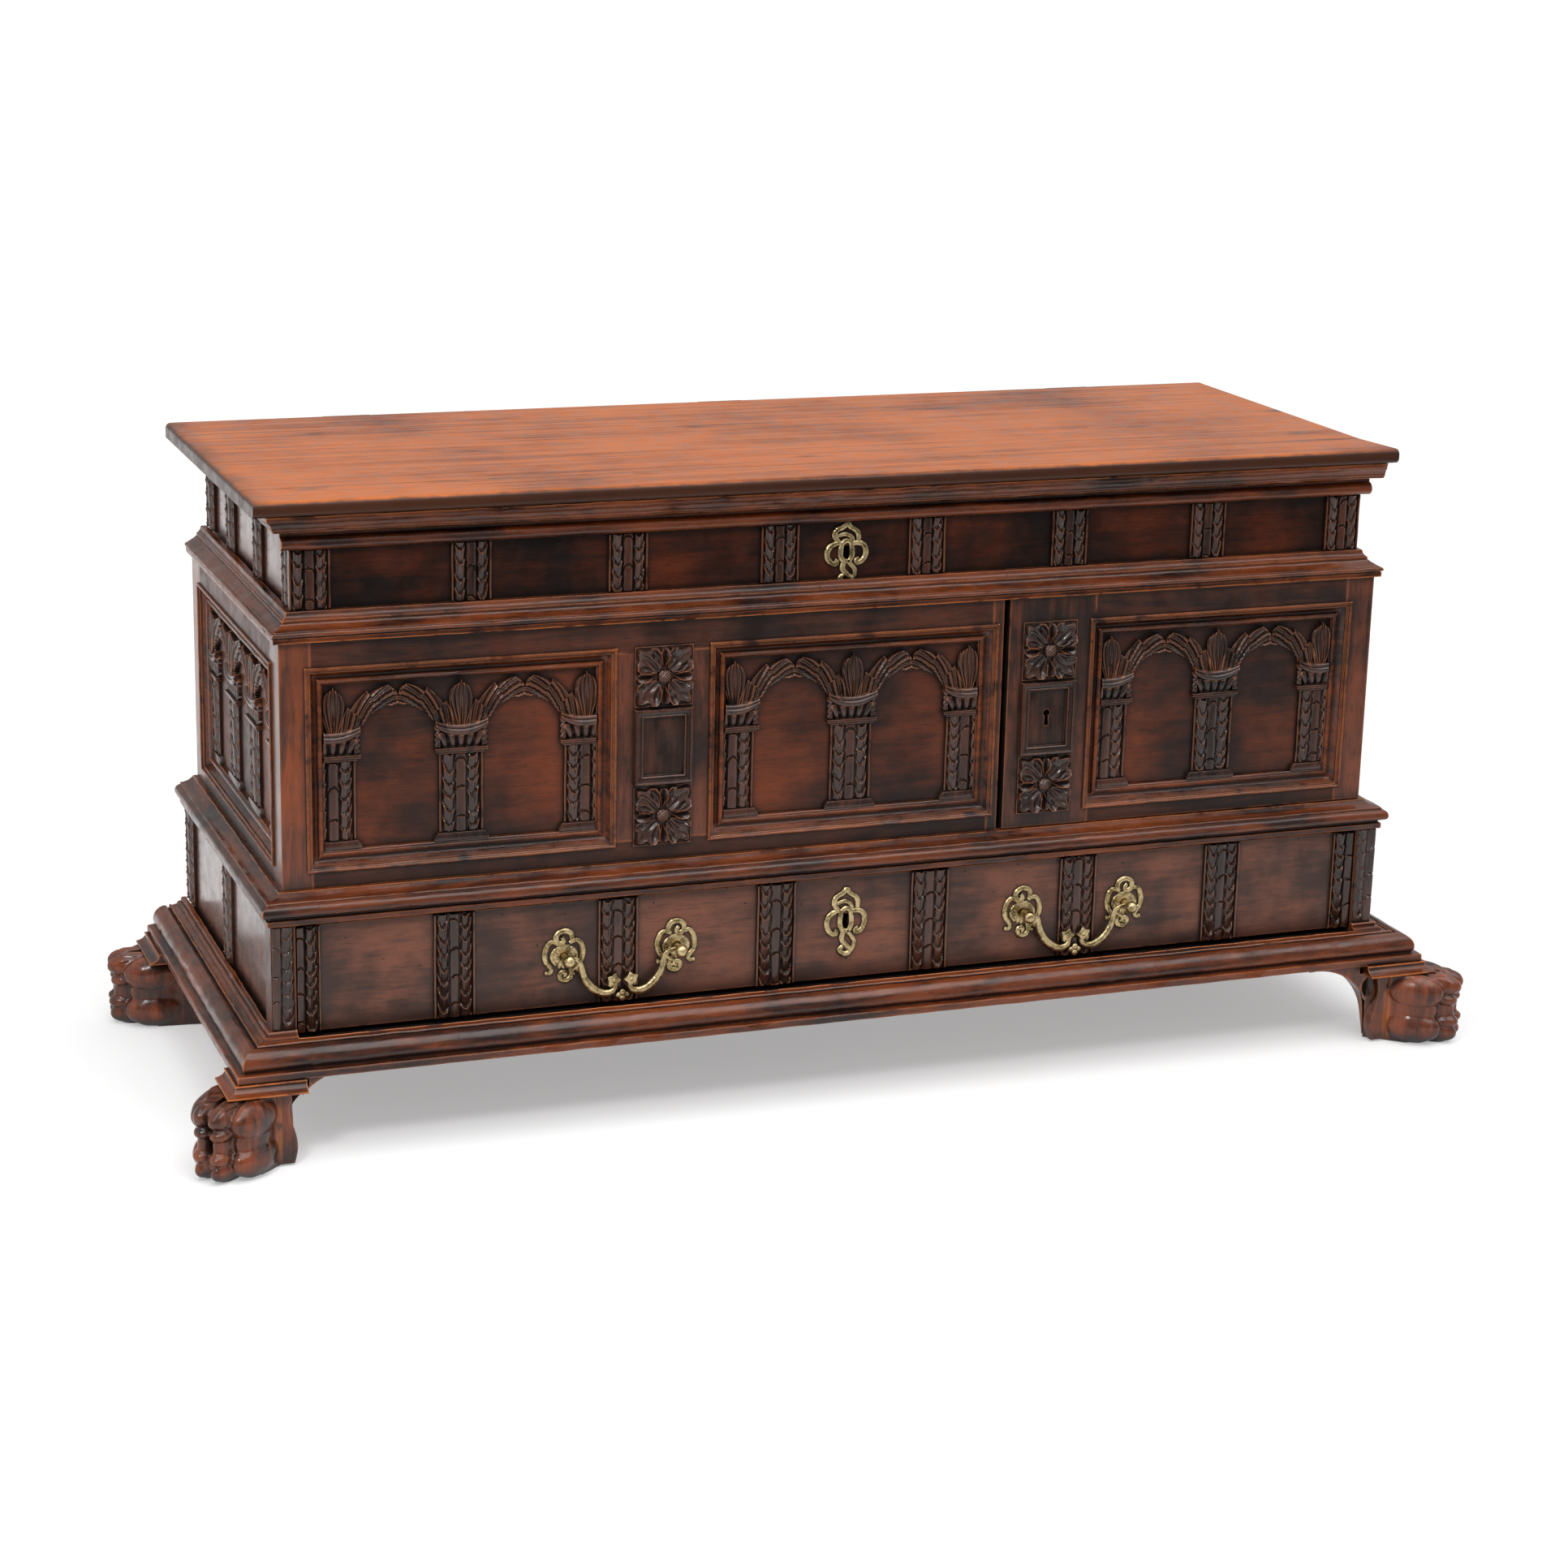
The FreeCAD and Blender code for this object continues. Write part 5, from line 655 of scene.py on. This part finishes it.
def plume(bm, middle, hand, seed):
    """One acanthus plume: fingers that rise from the capital and fan out to the crown."""
    spring, inner_radius, outer_radius = 470, 50.5, 71.5

    def shape(u, v):
        bend = math.radians(11 + 79.1 * u - 6 * max(0.0, v * 1.5 - 0.5) ** 2 * u ** 6)
        root = max(0.0, 1 - u / 0.3) ** 2
        phase = 3.6 * v - 3.4 * u + 3.65
        rib = abs(math.sin(math.pi * phase)) ** 0.6
        tip = 1 - (7.25 - 3.4 * u) % 1
        inner = inner_radius + 11 * root - 1.2 * ((u * 12) % 1) * (0.1 < u < 0.97)
        outer = outer_radius + 4.8 * tip ** 1.2 * min(1, u * 4) * (1 - 0.6 * u ** 5)
        radius = inner + (outer - inner) * v
        high = 3.0 + 3.8 * rib + 1.6 * math.sin(math.pi * phase) * rib
        high -= 1.3 * math.exp(-((phase % 1 - 0.5) / 0.08) ** 2) * (0.2 < v < 0.95)
        high *= 0.6 + 0.4 * math.sin(math.pi * (0.12 + 0.76 * v)) ** 0.7
        high += 1.2 * v * min(1, u * 2)
        high += 0.5 * noise.noise(Vector((u * 6, v * 3, seed)))
        return middle - hand * radius * math.cos(bend), -high, spring + radius * math.sin(bend)

    relief(bm, 90, 40, shape)


def arcade(bm, low, high, columns):
    """A run of arches between low and high; the outer columns pass behind the moulding."""
    def within(x, half):
        return max(low, x - half), min(high, x + half)

    half_shaft, half_foot, foot_z, shaft_z = 26, 33, 351, 361
    for number, x in enumerate(columns):
        x0, x1 = within(x, half_shaft)
        reeds(bm, x0, x1, x, half_shaft, shaft_z, 456.5, 6.2, number + low * 0.1)
        left, right = within(x, half_foot)
        slab(bm, [(left, foot_z), (right, foot_z), (right, foot_z + 4),
                  (x1 + min(2, high - x1), shaft_z), (x0 - min(2, x0 - low), shaft_z),
                  (left, foot_z + 4)], -6.5, soft=1.6)
        for half, z0, z1, front in ((28, 456, 459, -6.6), (31.5, 459, 463.2, -8.6)):
            left, right = within(x, half)
            slab(bm, [(left, z0), (right, z0), (right, z1), (left, z1)], front)
        capital(bm, low, high, x)
        palmette(bm, low, high, x)
    for number in range(len(columns) - 1):
        middle = (columns[number] + columns[number + 1]) / 2
        for hand in (1, -1):
            plume(bm, middle, hand, number * 2 + hand + low * 0.01)


panel_depth = 14
bm = bmesh.new()
for centre in (left_panel_x, middle_panel_x):
    moved(bm, Matrix.Translation((centre, FRONT + panel_depth, 0)), arcade, -162.5, 162.5,
          (-151, 0, 151))
settle("carved_front_arcades", bm, carved, ["front_arcades"])
bm = bmesh.new()
moved(bm, Matrix.Translation((door_panel_x, DOOR_FACE + panel_depth, 0)), arcade, -158.5,
      158.5, (-147.5, 0, 147.5))
settle("carved_door_arcade", bm, carved, ["door_arcade"], "door")
bm = bmesh.new()
moved(bm, Matrix.Translation((panel_depth - SIDE, left_side_y, 0)) @ LEFT, arcade, -190.5,
      190.5, (-179.5, -59.8, 59.8, 179.5))
moved(bm, Matrix.Translation((SIDE - panel_depth, right_side_y, 0)) @ RIGHT, arcade, -180.5,
      180.5, (-169.5, -56.5, 56.5, 169.5))
settle("carved_side_arcades", bm, carved, ["side_arcades"])


# Square plaques on the muntin and the door's wide stile: a four-leaved rosette above and
# below, and a framed tablet between them.
def rosette(bm, middle, seed):
    """Four broad leaves to the corners, four thin ones between, and a bossed bud."""
    half_wide, half_tall, bud = 36, 36.5, 8.2

    def shape(u, v):
        x = (u * 2 - 1) * half_wide
        z = (v * 2 - 1) * half_tall
        radius = math.hypot(x, z)
        angle = math.degrees(math.atan2(z, x)) % 90 - 45
        wave = noise.noise(Vector((x * 0.09, z * 0.09, seed)))
        high = 1.2 + 0.4 * wave
        reach = ((47 - 11 * (abs(angle) / 36) ** 2)
                 * (0.92 + 0.08 * math.cos(math.radians(angle * 14))))
        spread = 36 * min(1.0, 0.4 + radius / 32)
        if abs(angle) < spread and radius < reach:
            along = radius / reach
            aside = abs(angle) / spread
            high = 1.8 + 3.4 * along + 3.6 * aside ** 2.5 + 2.2 * along ** 5
            swirl = angle + 16 * math.sin(along * 3.4)
            ribs = 1.8 * math.cos(math.radians(swirl * 14)) * (1 - 0.3 * along)
            high += ribs * min(1, along * 2)
            high -= 2.6 * math.exp(-(((along - 0.68) / 0.12) ** 2 + ((aside - 0.5) / 0.22) ** 2))
            high *= min(1.0, (1 - along) * 12 + 0.3) * min(1.0, (1 - aside) * 9 + 0.35)
        turned = abs(abs(angle) - 45)
        half_turn = 14 * math.sin(math.pi * clipped((radius - 10) / 26, 0, 1)) ** 0.6
        if turned < half_turn and 10 < radius < 35:
            along = (radius - 10) / 25
            curl = 2.4 + 4.8 * along - 2.2 * math.exp(-(turned / 2.5) ** 2) + 0.03 * turned ** 2
            high = max(high, curl * min(1.0, (1 - along) * 8 + 0.3))
        if radius < 10.5:
            high = 1.6
        if radius < bud:
            high = 3.4 + 4.4 * dome(radius / bud) + math.cos(x * 1.7) * math.cos(z * 1.7)
        if max(abs(x), abs(z) - 0.5) > 34.6:
            high = 2.4
        return x, -(high + 0.5 * wave), middle + z

    relief(bm, 84, 84, shape)


def tablet(bm, keyed):
    """A moulded frame that slopes inwards to a sunk field, with a keyhole if it is keyed."""
    half_wide, middle, half_tall = 36, 449.5, 46.5
    key_z, key_radius, half_slot, slot_z = 455, 4.4, 2.9, 439
    turns = [math.radians(angle) for angle in range(-60, 241, 20)]
    hole = [(key_radius * math.cos(turn), key_z + key_radius * math.sin(turn)) for turn in turns]
    hole += [(-half_slot, slot_z), (half_slot, slot_z)]
    slab(bm, [(half_wide * sx, middle + half_tall * sz) for sx, sz in CORNERS], -0.5, back=6,
         soft=0, hole=hole if keyed else ())
    corners = [(Vector((half_wide * sx, 0, middle + half_tall * sz)), Vector((-sx, 0, -sz)),
                FORWARD) for sx, sz in CORNERS]
    moulding(bm, [(0, 0), (0, 6.4), (0.9, 7.6), (3.2, 8), (4, 7.2), (4.3, 5.4), (5.6, 4.8),
                  (7.6, 4.6), (8.4, 5.6), (9.6, 6), (10.6, 5.2), (11, 3), (11, 0)],
             corners, closed=True, step=7.0, waver=0.3)


for name, body, x, y, source in (
        ("carved_muntin_plaques", "carcase", -242.8, FRONT, "muntin_plaques"),
        ("carved_door_plaques", "door", 253, DOOR_FACE, "door_plaques")):
    bm = bmesh.new()
    place = Matrix.Translation((x, y, 0))
    moved(bm, place, rosette, 364.5, x)
    moved(bm, place, rosette, 534.5, x + 7)
    moved(bm, place, tablet, keyed=body == "door")
    settle(name, bm, carved, [source], body)


# The lion paws are carved in the round from blocks: smooth double-lobed outer toes, and
# two middle toes with grooved knuckles over two tiers of claws.
def lobe(bm, x, reach, z, wide, long, tall):
    """A rounded swelling whose tip is reach away from the heel."""
    made = bmesh.ops.create_uvsphere(bm, u_segments=24, v_segments=16, radius=1)
    bmesh.ops.scale(bm, vec=(wide, long, tall), verts=made["verts"])
    bmesh.ops.translate(bm, vec=(x, long - reach, z), verts=made["verts"])


def solid_form(thing):
    """The mesh of a thing with its modifier or bevel applied; the thing itself goes."""
    bpy.context.scene.collection.objects.link(thing)
    bpy.context.view_layer.update()
    applied = bpy.data.meshes.new_from_object(thing.evaluated_get(
        bpy.context.evaluated_depsgraph_get()))
    bpy.data.objects.remove(thing)
    return applied


def paw():
    """A paw that points along -Y from the origin, fused and then tooled."""
    wrist, foot_tall = -96, 92
    bm = bmesh.new()
    for side in (-1, 1):
        for x, reach, z, wide, long, tall in (
                (27.5, 134, 69, 18.5, 38, 24), (27.5, 133, 22, 18.5, 38, 23),
                (27, 127, 46, 13.5, 34, 22), (11, 153, 78, 12.6, 27, 15),
                (11, 146, 46, 11, 30, 60), (11.5, 149.5, 58, 12, 16, 8.5),
                (11.5, 151, 14, 12.4, 26, 14), (11.5, 152.5, 30, 12.2, 18, 9),
                (4, 147, 20, 10, 36, 20)):
            lobe(bm, x * side, reach, z, wide, long, tall)
    slab(bm, [(-36, 0), (36, 0), (36, foot_tall), (-36, foot_tall)], wrist, back=-34, soft=4)
    mesh = bpy.data.meshes.new("paw")
    bm.to_mesh(mesh)
    bm.free()
    block = bpy.data.objects.new("paw", mesh)
    fuse = block.modifiers.new("fuse", "REMESH")
    fuse.mode = "VOXEL"
    fuse.voxel_size = 1.7
    fused = solid_form(block)
    bm = bmesh.new()
    bm.from_mesh(fused)
    bpy.data.meshes.remove(fused)
    for smoothing in range(2):
        bmesh.ops.smooth_vert(bm, verts=bm.verts, factor=0.5, use_axis_x=True, use_axis_y=True,
                              use_axis_z=True)
    for vert in bm.verts:
        x, y, z = vert.co
        # Grooves over the knuckles of the middle toes.
        if z > 66 and y < wrist and abs(x) < 26:
            vert.co.z -= 1.5 * abs(math.sin(x * 0.62)) * min(1, (wrist - y) / 14)
        vert.co += noise.noise_vector(vert.co * 0.06) * 0.9
        vert.co.z = clipped(vert.co.z, 0.3, 91.6)
    pattern = bpy.data.meshes.new("paw_pattern")
    bm.to_mesh(pattern)
    bm.free()
    return pattern


pattern = paw()
for name, x, y, turn, source, winged in (
        ("carved_front_paws", -SIDE, FRONT, -50, "front_paws", True),
        ("carved_rear_paws", -676, 264, -97, "rear_paws", False)):
    place = Matrix.Translation((x, y, 0)) @ Matrix.Rotation(math.radians(turn), 4, "Z")
    bm = bmesh.new()
    for hand in (AS_IS, MIRRORED):
        moved(bm, hand @ place, lambda held: held.from_mesh(pattern))
        if winged:
            edge = [(-706 + 4.5 * math.sin(z * 0.068), z) for z in range(2, 93, 6)]
            moved(bm, hand, slab, [(-730, 2)] + edge + [(-730, 92)], -264, back=-250, soft=1.5)
    settle(name, bm, foot_wood, [source], crease=60)
bpy.data.meshes.remove(pattern)
dress(foot_wood, "foot_brackets")

# Each front foot has a hollowed cap that turns the corner under the plinth; the rear feet
# have it along the side alone.
bm = bmesh.new()
hollow_cap = [(-5, -13), (84, -13), (85, -12.2), (84.4, -10.8), (80, -9.8), (76, -7.6),
              (73.4, -4.6), (72.6, -2.4), (74, -1.8), (74, 0), (-5, 0)]
for hand in (AS_IS, MIRRORED):
    moved(bm, hand, moulding, hollow_cap,
          [(Vector((-SIDE, FRONT - 8, plinth_z)), LEFTWARD, UP),
           (Vector((-SIDE, FRONT, plinth_z)), LEFTWARD + FORWARD, UP),
           (Vector((9 - SIDE, FRONT, plinth_z)), FORWARD, UP)], waver=0.4, chip=1.0)
    moved(bm, hand, moulding, hollow_cap,
          [(Vector((-SIDE, y, plinth_z)), LEFTWARD, UP) for y in (BACK, 214)], waver=0.4)
settle("hollow_foot_caps", bm, moulded, ["foot_caps"], crease=32)


# The brasses are cast and chased: pierced plates of scrolls, posts with ball knobs, and
# swan-necked bails with two leaves and a bud.
def metal(name, bright, dull, rough):
    """Cast or forged metal with chased pits, dulled in patches and dark in its hollows."""
    finish = bpy.data.materials.new(name)
    finish.use_nodes = True
    tree = finish.node_tree
    surface = tree.nodes["Principled BSDF"]
    place = knot(tree, "TexCoord").outputs["Object"]
    cloud = knot(tree, "TexNoise", {"Vector": place, "Scale": 90.0, "Detail": 4.0})
    chase = knot(tree, "TexVoronoi", {"Vector": place, "Scale": 420.0})
    hollow = knot(tree, "AmbientOcclusion", {"Distance": 0.006}, samples=8)
    colour = mixed(tree, share(tree, cloud.outputs["Fac"], 0.35, 0.6), dull, bright)
    colour = mixed(tree, share(tree, hollow.outputs["AO"], 0.3, 0.8, 0.95, 0), colour,
                   (dull[0] * 0.2, dull[1] * 0.2, dull[2] * 0.2, 1))
    tree.links.new(colour, surface.inputs["Base Color"])
    surface.inputs["Metallic"].default_value = 1
    tree.links.new(share(tree, cloud.outputs["Fac"], 0.3, 0.7, rough, rough + 0.2),
                   surface.inputs["Roughness"])
    bump = knot(tree, "Bump", {"Height": chase.outputs["Distance"],
                               "Strength": 0.5, "Distance": 0.0006})
    tree.links.new(bump.outputs[0], surface.inputs["Normal"])
    return finish


brass = metal("old_brass", (0.64, 0.5, 0.27, 1), (0.25, 0.185, 0.085, 1), 0.22)
iron = metal("forged_iron", (0.09, 0.085, 0.08, 1), (0.04, 0.035, 0.03, 1), 0.5)
dress(brass, "handle_posts")
dress(iron, "lid_hinge_leaves_fixed", "lid_hinge_leaves_moving", "door_hinge_leaves_fixed",
      "door_hinge_leaves_moving", "lid_lock_case", "door_lock_case", "drawer_lock_case",
      "lid_bolt", "door_bolt", "drawer_bolt", "lid_staple")


def scroll(bm, points, thick, y=0.0, flat=0.55):
    """A cast scroll along points of x, z and girth, broad in the plane and flat across it."""
    breadth = 1.85
    line = bpy.data.curves.new("scroll", "CURVE")
    line.dimensions = "3D"
    line.bevel_depth = thick * breadth
    line.bevel_resolution = 2
    line.resolution_u = 5
    line.use_fill_caps = True
    spline = line.splines.new("NURBS")
    spline.points.add(len(points) - 1)
    for knob, (x, z, *girth) in zip(spline.points, points):
        knob.co = (x, 0, z, 1)
        knob.radius = girth[0] if girth else 1.0
    spline.order_u = 3
    spline.use_endpoint_u = True
    mesh = solid_form(bpy.data.objects.new("scroll", line))
    before = set(bm.verts)
    bm.from_mesh(mesh)
    added = [vert for vert in bm.verts if vert not in before]
    bmesh.ops.remove_doubles(bm, verts=added, dist=0.01)
    added = [vert for vert in bm.verts if vert not in before]
    bmesh.ops.transform(bm, verts=added,
                        matrix=Matrix.Translation((0, y, 0)) @ Matrix.Scale(flat, 4, (0, 1, 0)))
    bpy.data.meshes.remove(mesh)


def ball(bm, x, y, z, radius, flat):
    """A round bead, flattened from front to back."""
    made = bmesh.ops.create_uvsphere(bm, u_segments=12, v_segments=8, radius=radius)
    bmesh.ops.scale(bm, vec=(1, flat, 1), verts=made["verts"])
    bmesh.ops.translate(bm, vec=(x, y, z), verts=made["verts"])


def rose(bm):
    """A handle plate: a fluted boss in a cage of scrolls."""
    scroll(bm, [(-7, 16, 0.8), (-15, 21), (-22, 14), (-24, 3, 1.2), (-22, -7), (-16, -13),
                (-17, -19, 0.8), (-23, -20, 0.7), (-23, -15, 0.6)], 1.7, -1.4)
    scroll(bm, [(7, 15, 0.8), (14, 21), (21, 15), (24, 4, 1.2), (23, -6), (17, -12),
                (15, -18, 0.9), (20, -22, 0.8), (23, -17, 0.6)], 1.7, -1.4)
    scroll(bm, [(-10, 17, 1), (-11, 27), (-1, 32.5, 1.1), (10, 28), (10, 18), (3, 15),
                (-1, 20, 0.8), (3, 24, 0.7)], 1.8, -1.6)
    scroll(bm, [(-7, -12, 1), (-11, -22), (-6, -31, 1.1), (4, -30), (6, -22), (0, -19),
                (-3, -24, 0.8), (1, -25, 0.7)], 1.8, -1.6)
    for hand in (-1, 1):
        scroll(bm, [(10 * hand, 9, 0.9), (15 * hand, 4), (15 * hand, -4),
                    (10 * hand, -10, 0.9)], 1.4, -1.2)
    for x, z in ((-15, 20), (15, 20), (-23, -19), (22, -20), (0, 32), (-1, -31)):
        ball(bm, x, -1.6, z, 2.2, 0.8)

    rim, middle, flutes = 15, 3, 16
    made = bmesh.ops.create_grid(bm, x_segments=64, y_segments=8, size=0.5)
    for vert in made["verts"]:
        angle = 2 * math.pi * (vert.co.x + 0.5)
        inward = vert.co.y + 0.5
        flute = math.cos(angle * flutes) * (1 - inward)
        radius = (rim * (1 - inward) + middle * inward) * (1 + 0.05 * flute)
        vert.co = (radius * math.cos(angle), -(1.0 + 1.6 * math.sin(inward * 3.1) + 0.5 * flute),
                   radius * math.sin(angle))
    bmesh.ops.remove_doubles(bm, verts=made["verts"], dist=0.01)


def scutcheon(bm, tall=1.0):
    """A keyhole plate: an open cartouche with scrolls round it and a tail below."""
    def at(points):
        return [(x, z * tall, *rest) for x, z, *rest in points]

    scroll(bm, at([(-6, 12, 0.9), (-8, 2), (-7, -8), (-3, -13), (2, -13, 0.9)]), 1.8, -1.7)
    scroll(bm, at([(6, 12, 0.9), (8, 2), (7, -8), (4, -12, 0.9)]), 1.8, -1.7)
    scroll(bm, at([(-6, 12), (-2, 17, 1.1), (4, 16), (7, 11, 0.9)]), 1.7, -1.9)
    scroll(bm, at([(-8, 14, 0.8), (-16, 13), (-24, 6, 1.1), (-25, -6), (-20, -15), (-13, -17),
                   (-11, -12, 0.7), (-15, -10, 0.6)]), 1.9, -1.5)
    scroll(bm, at([(8, 12, 0.8), (17, 14), (25, 6, 1.1), (25, -6), (20, -14), (13, -16),
                   (12, -11, 0.7), (16, -9, 0.6)]), 1.9, -1.5)
    scroll(bm, at([(-9, 13, 0.9), (-17, 22), (-14, 32), (-4, 36, 1.1), (1, 43), (3, 36),
                   (12, 31), (16, 24), (15, 16, 0.8)]), 1.8, -1.6)
    scroll(bm, at([(-12, 23, 0.7), (-4, 27), (5, 23), (9, 16), (4, 12, 0.8)]), 1.5, -1.5)
    scroll(bm, at([(-3, -14), (-6, -22), (-2, -28), (3, -33, 0.9), (8, -38), (3, -43, 1.1),
                   (-6, -41), (-8, -34), (-3, -32, 0.7)]), 1.9, -1.7)
    scroll(bm, at([(3, -14), (9, -21), (13, -30), (9, -38, 0.8)]), 1.6, -1.5)
    for x, z in ((-17, 22), (16, 21), (-25, 5), (25, 5), (0, 42), (-7, -36), (-12, -16),
                 (12, -15)):
        ball(bm, x, -1.7, z * tall, 2.3, 0.8)


handle_x, post_x, handle_z, keyhole_x = 297, 70, 203, -9
bm = bmesh.new()
for side in (-1, 1):
    for post, hand in ((-1, MIRRORED), (1, AS_IS)):
        moved(bm, Matrix.Translation((handle_x * side + post_x * post, DRAWER_FACE, handle_z))
              @ hand, rose)
settle("cast_handle_plates", bm, brass, ["handle_backplates"], "drawer", 60)
bm = bmesh.new()
moved(bm, Matrix.Translation((keyhole_x, DRAWER_FACE, 213.4)), scutcheon)
settle("cast_drawer_scutcheon", bm, brass, ["drawer_scutcheon"], "drawer", 60)
bm = bmesh.new()
moved(bm, Matrix.Translation((keyhole_x, FRIEZE_FACE, 666)), scutcheon, 0.86)
settle("cast_frieze_scutcheon", bm, brass, ["frieze_scutcheon"], "carcase", 60)


def bail(bm):
    """A swan-necked bail about its pivots, with a leaf in each half and a bud below."""
    star_x, star_z = 11, -33
    for hand in (-1, 1):
        def way(points):
            return [(x * hand, z, *rest) for x, z, *rest in points]

        scroll(bm, way([(67, 0, 0.6), (60, -1, 0.7), (53, -5, 0.8), (51, -14, 0.9),
                        (48, -27, 1.15), (38, -41, 1.35), (24, -49, 1.25), (12, -47, 1.0),
                        (8, -40, 0.8), (13, -36, 0.7), (16, -40, 0.6)]), 2.3, flat=0.74)
        scroll(bm, way([(53, -7, 0.8), (58, -12, 0.8), (64, -15, 0.7), (65, -20, 0.6),
                        (60, -20, 0.6)]), 1.85, flat=0.74)
        star = []
        for point in range(10):
            angle = math.pi * (0.5 + point / 5) + 0.25 * hand
            reach = (9.8, 6.4)[point % 2]
            star.append((star_x * hand + reach * math.cos(angle),
                         star_z + reach * math.sin(angle)))
        slab(bm, star, -2.2, back=1.4)
        ball(bm, star_x * hand, -1.8, star_z, 2.6, 0.6)
    for x, z, size in ((0, -49, 4.6), (-5, -52, 3.6), (5, -52, 3.6), (0, -56, 4.2)):
        ball(bm, x, 0, z, size, 0.65)


pivot_y = -218
for name, x, body in (("cast_left_bail", -handle_x, "left_bail"),
                      ("cast_right_bail", handle_x, "right_bail")):
    bm = bmesh.new()
    moved(bm, Matrix.Translation((x, pivot_y, handle_z)), bail)
    settle(name, bm, brass, [body], body, 60)
